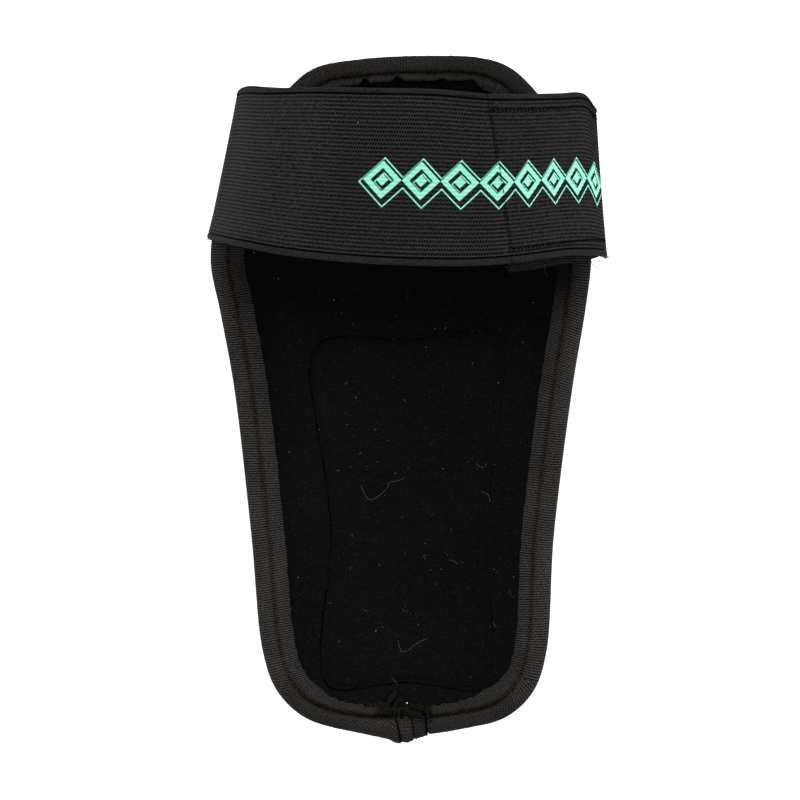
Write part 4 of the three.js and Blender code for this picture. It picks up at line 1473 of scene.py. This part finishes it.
class GUARD_OT_strap(bpy.types.Operator):
    """Arches the ribbed elastic over the hollow and sews it under the pad"""

    bl_idname = "guard.strap"
    bl_label = "Strap"

    def execute(self, context):
        v, outer_half, inner_half = webbing_profile()
        side = v / STRAP_WIDTH
        share = np.linspace(0, 1, 171)
        run = STRAP.along(share)
        past = smoothstep(run[:, None] - patch_line(side)[None], -1.5 * MM, 1.5 * MM)
        crease = bell(run[:, None] - patch_line(side)[None], 0.9 * MM)
        ends = smoothstep(run[-1] - run, 10 * MM, 40 * MM)[:, None]
        raised = (0.45 * MM * past - 0.4 * MM * crease) * ends
        slack = 0.18 * MM * ripple(run / (34 * MM), 31)[:, None] * np.sin(side * math.pi)
        edge_wave = 0.25 * MM * ripple(run / (7 * MM), 32)[:, None] * bell(v, 3 * MM)
        wave = raised + slack + edge_wave
        rows, across = np.broadcast_arrays(share[:, None], side[None])
        outer = STRAP.at(across, rows, outer_half[None] + wave)
        inner = STRAP.at(across, rows, wave * 0.3 - inner_half[None])
        flat = columns(run[:, None] + 0 * v[None], v[None] + 0 * run[:, None])
        piece = sheet_mesh("strap_elastic", outer, inner, flat)
        settle(piece, elastic_webbing(), "elastic", "strap")
        threads = joined("strap_stitches", self.seams())
        settle(threads, sewing_thread(), "elastic")
        return {"FINISHED"}

    def seams(self):
        """The box round the hook patch, and the boxes that hold both ends under the pad."""
        made = []
        lift = STRAP_THICKNESS / 2 + 0.55 * MM
        first, last = STRAP.along(1 - LAST_STATIONS / (STATIONS - 1)), STRAP.run[-1]

        def seam(sides, runs, lift, pitch, thickness, lean=0.0):
            sides, runs = np.broadcast_arrays(np.asarray(sides, float), np.asarray(runs, float))
            shares = STRAP.share_at(runs)
            points = STRAP.at(sides, shares, lift)
            ups = STRAP.at(sides, shares, lift + MM) - points
            made.append(sewn(points, ups, pitch, thickness, lean))

        for v, rise in PATCH_SEAMS:
            begin = float(patch_line(v / STRAP_WIDTH)) + 0.8 * MM
            runs = np.linspace(begin, first - 2.5 * MM, 160)
            side = (v + rise * smoothstep(runs, begin + 20 * MM, first)) / STRAP_WIDTH
            seam(side, runs, lift + 0.12 * MM, 1.7 * MM, sizes().thread * 2.3, lean=-0.5)
        sides = np.linspace(4.9, 54.8, 90) * MM / STRAP_WIDTH
        seam(sides, patch_line(sides) + 0.7 * MM, lift - 0.15 * MM, 1.9 * MM, sizes().thread * 0.9)
        low, high = 3 * MM / STRAP_WIDTH, 57 * MM / STRAP_WIDTH
        for near, far in ((2 * MM, 15 * MM), (last - 15 * MM, last - 2 * MM)):
            box = [(low, near), (high, near), (high, far), (low, far), (low, near)]
            for (side_a, run_a), (side_b, run_b) in zip(box, box[1:]):
                steps = np.linspace(0, 1, 60)
                runs = run_a + (run_b - run_a) * steps
                seam(side_a + (side_b - side_a) * steps, runs, STRAP_THICKNESS / 2 + 0.08 * MM, 2.4 * MM,
                     sizes().thread)
        return made


def webbing_ribs():
    """Where the elastic's ribs begin and end across it, their number and their pitch."""
    toe, crown = sizes().toe_selvedge, STRAP_WIDTH - sizes().crown_selvedge
    ribs = int((crown - toe) / sizes().rib_pitch)
    return toe, crown, ribs, (crown - toe) / ribs


# Shares of the width of the fuzzy selvedge, of one rib and of the rolled selvedge
FUZZY_SHARES = np.array((0, 0.02, 0.08, 0.18, 0.3, 0.44, 0.58, 0.72, 0.85, 0.95))
RIB_SHARES = np.array((0.0, 0.14, 0.32, 0.5, 0.68, 0.86))
ROLLED_SHARES = np.array((0.0, 0.06, 0.18, 0.32, 0.48, 0.64, 0.78, 0.9, 0.97, 1.0))
SELVEDGE_GAP = 0.12 * MM  # how much lower the elastic lies beside its selvedges


def round_bar(share):
    """The height of a half circle across its width, one unit high."""
    return np.sqrt(np.maximum(0.0, 1 - (2 * share - 1) ** 2))


def webbing_profile():
    """Places across the elastic, and its half thickness there outside and inside."""
    toe, crown, ribs, step = webbing_ribs()
    half = STRAP_THICKNESS / 2
    low = half - sizes().rib_height * 0.7
    rib = np.arange(ribs)[:, None] + RIB_SHARES
    fuzzy = half * 1.12 * round_bar(np.minimum(FUZZY_SHARES, 0.5))
    fuzzy *= 1 - 0.35 * np.maximum(0, FUZZY_SHARES - 0.6)
    ribbed = np.tile(low + sizes().rib_height * np.sin(math.pi * RIB_SHARES) ** 0.7, ribs)
    ribbed[0] -= SELVEDGE_GAP
    rolled = half * 1.28 * round_bar(ROLLED_SHARES) ** 0.7
    rolled[0] = low - SELVEDGE_GAP
    rolled_at = crown + (STRAP_WIDTH - crown) * ROLLED_SHARES
    v = np.concatenate([toe * FUZZY_SHARES, toe + rib.ravel() * step, rolled_at])
    h = np.concatenate([fuzzy, ribbed, rolled])
    return v, h, np.minimum(h, half)


class GUARD_OT_hook_patch(bpy.types.Operator):
    """Sews the hook patch inside the strap's right end"""

    bl_idname = "guard.hook_patch"
    bl_label = "Hook patch"

    def execute(self, context):
        along = np.linspace(0, 1, 91)[:, None]
        across = np.linspace(0, 1, 57)[None]
        tuck = smoothstep(along, 0.08, 0.5)
        toe_side = (tuck * PATCH_TUCK - (1 - tuck) * PATCH_PROUD) / STRAP_WIDTH
        crown_side = 1 - PATCH_MARGIN / STRAP_WIDTH
        side = toe_side + (crown_side - toe_side) * across
        start = STRAP.share_at(patch_line(across))
        share = start + (1 - start) * along
        depth = STRAP_THICKNESS / 2 + CLEARANCE + PATCH_THICKNESS / 2
        rim = np.minimum(np.minimum(across, 1 - across) * STRAP_WIDTH, 0.5 * MM) / (0.5 * MM)
        half = PATCH_THICKNESS / 2 * np.sqrt(1 - (1 - rim) ** 2) + 0 * along
        wave = 0.12 * MM * ripple(along * 9 + across * 2, 33) * (1 - rim * 0.5)
        outer = STRAP.at(side, share, -depth + half + wave * 0.3)
        inner = STRAP.at(side, share, -depth - half + wave)
        flat = columns(STRAP.along(share), side * STRAP_WIDTH)
        piece = sheet_mesh("hook_tape", outer, inner, flat)
        settle(piece, hook_weave(), "hook_tape", "hook_patch")
        return {"FINISHED"}


class GUARD_OT_seam(bpy.types.Operator):
    """Sews the quilted panel through the lining and the pad"""

    bl_idname = "guard.seam"
    bl_label = "Panel seam"

    def execute(self, context):
        plan = PANEL.at(np.linspace(0, 1, 901) % 1.0)
        x, y = plan[:, 0], plan[:, 1]
        up = dish_normal(x, y)
        inside = sewn(face_point(x, y, -0.08 * MM), up, sizes().stitch, sizes().thread * 0.8)
        front = sewn(front_point(x, y, 0.06 * MM), -up, sizes().stitch, sizes().thread)
        threads = joined("panel_stitches", [inside, front])
        settle(threads, sewing_thread(), "lining")
        return {"FINISHED"}


# Fluff on the lining: where it lies and how it reaches from there, in pixels of the picture
LINT = [
    (253, 252, 1.5, 1), (278, 278, 0.9, 1.2), (533, 302, 1, 1), (522, 342, 1.5, 0.5), (498, 382, 1, 1.5),
    (333.5, 299.5, 0.8, 0.8), (341, 313, 0.7, 0.7), (355.5, 397, 0.9, 1), (319, 429, 0.8, 1),
    (425.5, 347, 0.8, 0.6), (289, 451.5, 1, 1.2), (297.5, 577, 1.6, 0.8), (401.5, 517, 0.8, 0.8),
    (441, 569, 0.8, 0.8), (442.5, 468, 0.8, 1.2), (395, 473, 0.7, 0.7), (375.5, 632, 0.8, -2.2),
    (418, 624, 0.7, 0.7), (365, 610, 0.6, 0.8), (513, 576, 1.2, 1.6),
]
# Loose fibres on it: knots of their lines, in pixels too
CURLS = [
    [(545, 265), (545, 272), (548, 276)],
    [(398, 640), (400, 648), (405, 652), (413, 646), (421, 641), (428, 638)],
    [(391, 677), (395, 681), (398, 685)],
    [(361, 485), (365, 495), (370, 500), (380, 495), (387, 488), (390, 482), (397, 481), (405, 478)],
    [(481, 491), (488, 495), (490, 502)],
    [(476, 462), (479, 466), (484, 467), (487, 463)],
    [(449, 560), (454, 561), (458, 565)],
    [(509, 590), (511, 595), (514, 598)],
]


LOOSE_LINT = 70
LINT_LIFT = 0.12 * MM
# Worn corners of the strap: place across, share along, fibres and their length in mm
CORNERS = [(0.004, 0.742, 30, 1.5), (1.0, 0.735, 12, 1.1), (0.0, 0.27, 9, 0.8)]
# A thread's loop at the right corner: pixels across and down, and its height in mm
LOOP = [(590, 258, 47), (593, 265, 45), (597, 268, 44), (600, 264, 45), (599, 258, 47)]


class GUARD_OT_fibres(bpy.types.Operator):
    """Drops lint and loose threads on the lining and at the strap's corners"""

    bl_idname = "guard.fibres"
    bl_label = "Loose fibres"

    def execute(self, context):
        random = np.random.default_rng(71)
        made = []
        for across, down, right, below in LINT:
            knots = [(across, down), (across + right, down + below)]
            made.append(strand(self.on_lining(knots, 5), 0.15 * MM))
        for knots in CURLS:
            made.append(strand(self.on_lining(knots, 22), 0.035 * MM))
        for _ in range(LOOSE_LINT):
            x, y = random.uniform(-34, 36) * MM, random.uniform(-106, 40) * MM
            heading = random.normal(0, 1, 3) * [1, 1, 0.05]
            line = curl_from(random, [x, y, 0], heading, random.uniform(0.3, 1.6) * MM, 0.35)
            line = face_point(line[:, 0], line[:, 1], LINT_LIFT)
            made.append(strand(line, random.uniform(0.03, 0.06) * MM, sides=4))
        lint = joined("lint", made)
        settle(lint, lint_fibre(), "lining")
        tuft = seen_on(407, 703, over_tape(5.4 * MM))
        tuft = tuft + np.linspace(-0.3, 0.3, 5)[:, None] * [0.3 * MM, 1 * MM, 0]
        white = strand(tuft, 0.24 * MM, sides=7)
        share = STRAP.share_at(np.array([PRINT_START - 9.9 * MM]))
        speck = STRAP.at(0.8, share, STRAP_THICKNESS / 2 + 0.3 * MM)[0]
        spot = strand(speck + np.linspace(-0.1, 0.1, 4)[:, None] * [1 * MM, 0, 0], 0.14 * MM)
        bright = joined("white_lint", [white, spot])
        settle(bright, white_lint(), "lining")
        self.strap_ends(random)
        return {"FINISHED"}

    def on_lining(self, knots, count):
        """A line over the lining's face where the camera sees it at those pixels."""
        points = [seen_on(*knot, lambda x, y: face_point(x, y, LINT_LIFT)) for knot in knots]
        return curved(points, count)

    def strap_ends(self, random):
        """Fibres at the corners of the strap, where its selvedge is worn."""
        made = []
        for side, share, count, length in CORNERS:
            corner = STRAP.at(side, np.array([share]), 0.3 * MM)[0]
            away = STRAP.normals[int(share * (STRAP_ROWS - 1)), 2 if side < 0.5 else STRAP_COLUMNS - 3]
            for _ in range(count):
                start = corner + random.normal(0, 0.5, 3) * MM
                heading = away * 0.6 + random.normal(0, 0.45, 3) + [0, -0.5 if side < 0.5 else 0.5, 0]
                line = curl_from(random, start, heading, random.uniform(0.4, 1) * length * MM, 0.4)
                made.append(strand(line, random.uniform(0.06, 0.11) * MM, sides=4))
        loop = [seen_at(x, y, z * MM) for x, y, z in LOOP]
        made.append(strand(curved(loop, 20), 0.09 * MM, sides=5))
        fluff = joined("strap_fibres", made)
        settle(fluff, frayed_yarn(), "elastic")


class GUARD_OT_stage(bpy.types.Operator):
    """Sets out the pale table, the soft lights and the camera"""

    bl_idname = "guard.stage"
    bl_label = "Stage"

    def execute(self, context):
        in_object_mode()
        bpy.ops.mesh.primitive_plane_add(size=6, location=(0, 0, -0.3 * MM))
        floor = bpy.context.object
        floor.name = "table"
        bpy.ops.object.transform_apply(location=True, rotation=False, scale=False)
        finish = Finish("pale_table", roughness=0.9, specular=0.1)
        tone = finish.noise(3, detail=2, seed=51)
        paint = colours().floor
        finish.set("Base Color", finish.mix(tone, [c * 0.98 for c in paint], paint))
        finish.set("Emission Color", (1, 1, 1))
        finish.set("Emission Strength", FLOOR_GLOW)
        dress(floor, finish)
        world = bpy.data.worlds.new("studio")
        world.use_nodes = True
        sky = world.node_tree.nodes["Background"].inputs
        sky["Color"].default_value = (1, 1, 1, 1)
        sky["Strength"].default_value = WORLD_STRENGTH
        context.scene.world = world
        for name, place, turn, size, power in LIGHTS:
            bpy.ops.object.light_add(type="AREA", location=place, rotation=turn)
            light = context.object
            light.name = name
            light.data.shape = "RECTANGLE"
            light.data.size, light.data.size_y = size
            light.data.energy = power
        bpy.ops.object.camera_add(location=CAMERA_PLACE, rotation=(0, 0, 0))
        camera = context.object
        camera.data.lens = CAMERA_LENS
        camera.data.sensor_width = SENSOR_WIDTH
        camera.data.clip_start, camera.data.clip_end = 0.01, 20
        context.scene.camera = camera
        context.scene.view_settings.view_transform = "Standard"
        return {"FINISHED"}


CAMERA_HEIGHT = 0.9
CAMERA_PLACE = (-2.45 * MM, 0.7 * MM, CAMERA_HEIGHT)
FOCAL_PIXELS = 2403
PICTURE = 800  # pixels across and down
SENSOR_WIDTH = 36
CAMERA_LENS = SENSOR_WIDTH * FOCAL_PIXELS / PICTURE
WORLD_STRENGTH = 0.6
FLOOR_GLOW = 0.55  # keeps the table white in the picture
LIGHTS = [
    ("left", (-0.9, 0.35, 0.65), (math.radians(-20), math.radians(-52), 0), (0.8, 1.0), 10.5),
    ("right", (0.9, 0.3, 0.65), (math.radians(-18), math.radians(52), 0), (0.8, 1.0), 12),
]


class GUARD_PT_panel(bpy.types.Panel):
    """Lists the pieces of the guard with its sizes and colours"""

    bl_idname = "GUARD_PT_panel"
    bl_label = "Knee guard"
    bl_space_type = "VIEW_3D"
    bl_region_type = "UI"
    bl_category = "Knee guard"

    def draw(self, context):
        for piece in PIECES:
            self.layout.operator(piece.bl_idname)
        for group in (context.scene.guard_sizes, context.scene.guard_colours):
            for field in group.__annotations__:
                self.layout.prop(group, field)


PIECES = [
    GUARD_OT_stage, GUARD_OT_pad, GUARD_OT_lining, GUARD_OT_seam, GUARD_OT_binding, GUARD_OT_join,
    GUARD_OT_strap, GUARD_OT_hook_patch, GUARD_OT_fibres,
]
CLASSES = [GuardSizes, GuardColours, *PIECES, GUARD_PT_panel]


def register():
    for part in CLASSES:
        bpy.utils.register_class(part)
    bpy.types.Scene.guard_sizes = bpy.props.PointerProperty(type=GuardSizes)
    bpy.types.Scene.guard_colours = bpy.props.PointerProperty(type=GuardColours)


def unregister():
    del bpy.types.Scene.guard_colours
    del bpy.types.Scene.guard_sizes
    for part in reversed(CLASSES):
        bpy.utils.unregister_class(part)


def main():
    register()
    for piece in PIECES:
        group, name = piece.bl_idname.split(".")
        getattr(getattr(bpy.ops, group), name)()


if __name__ == "__main__":
    main()
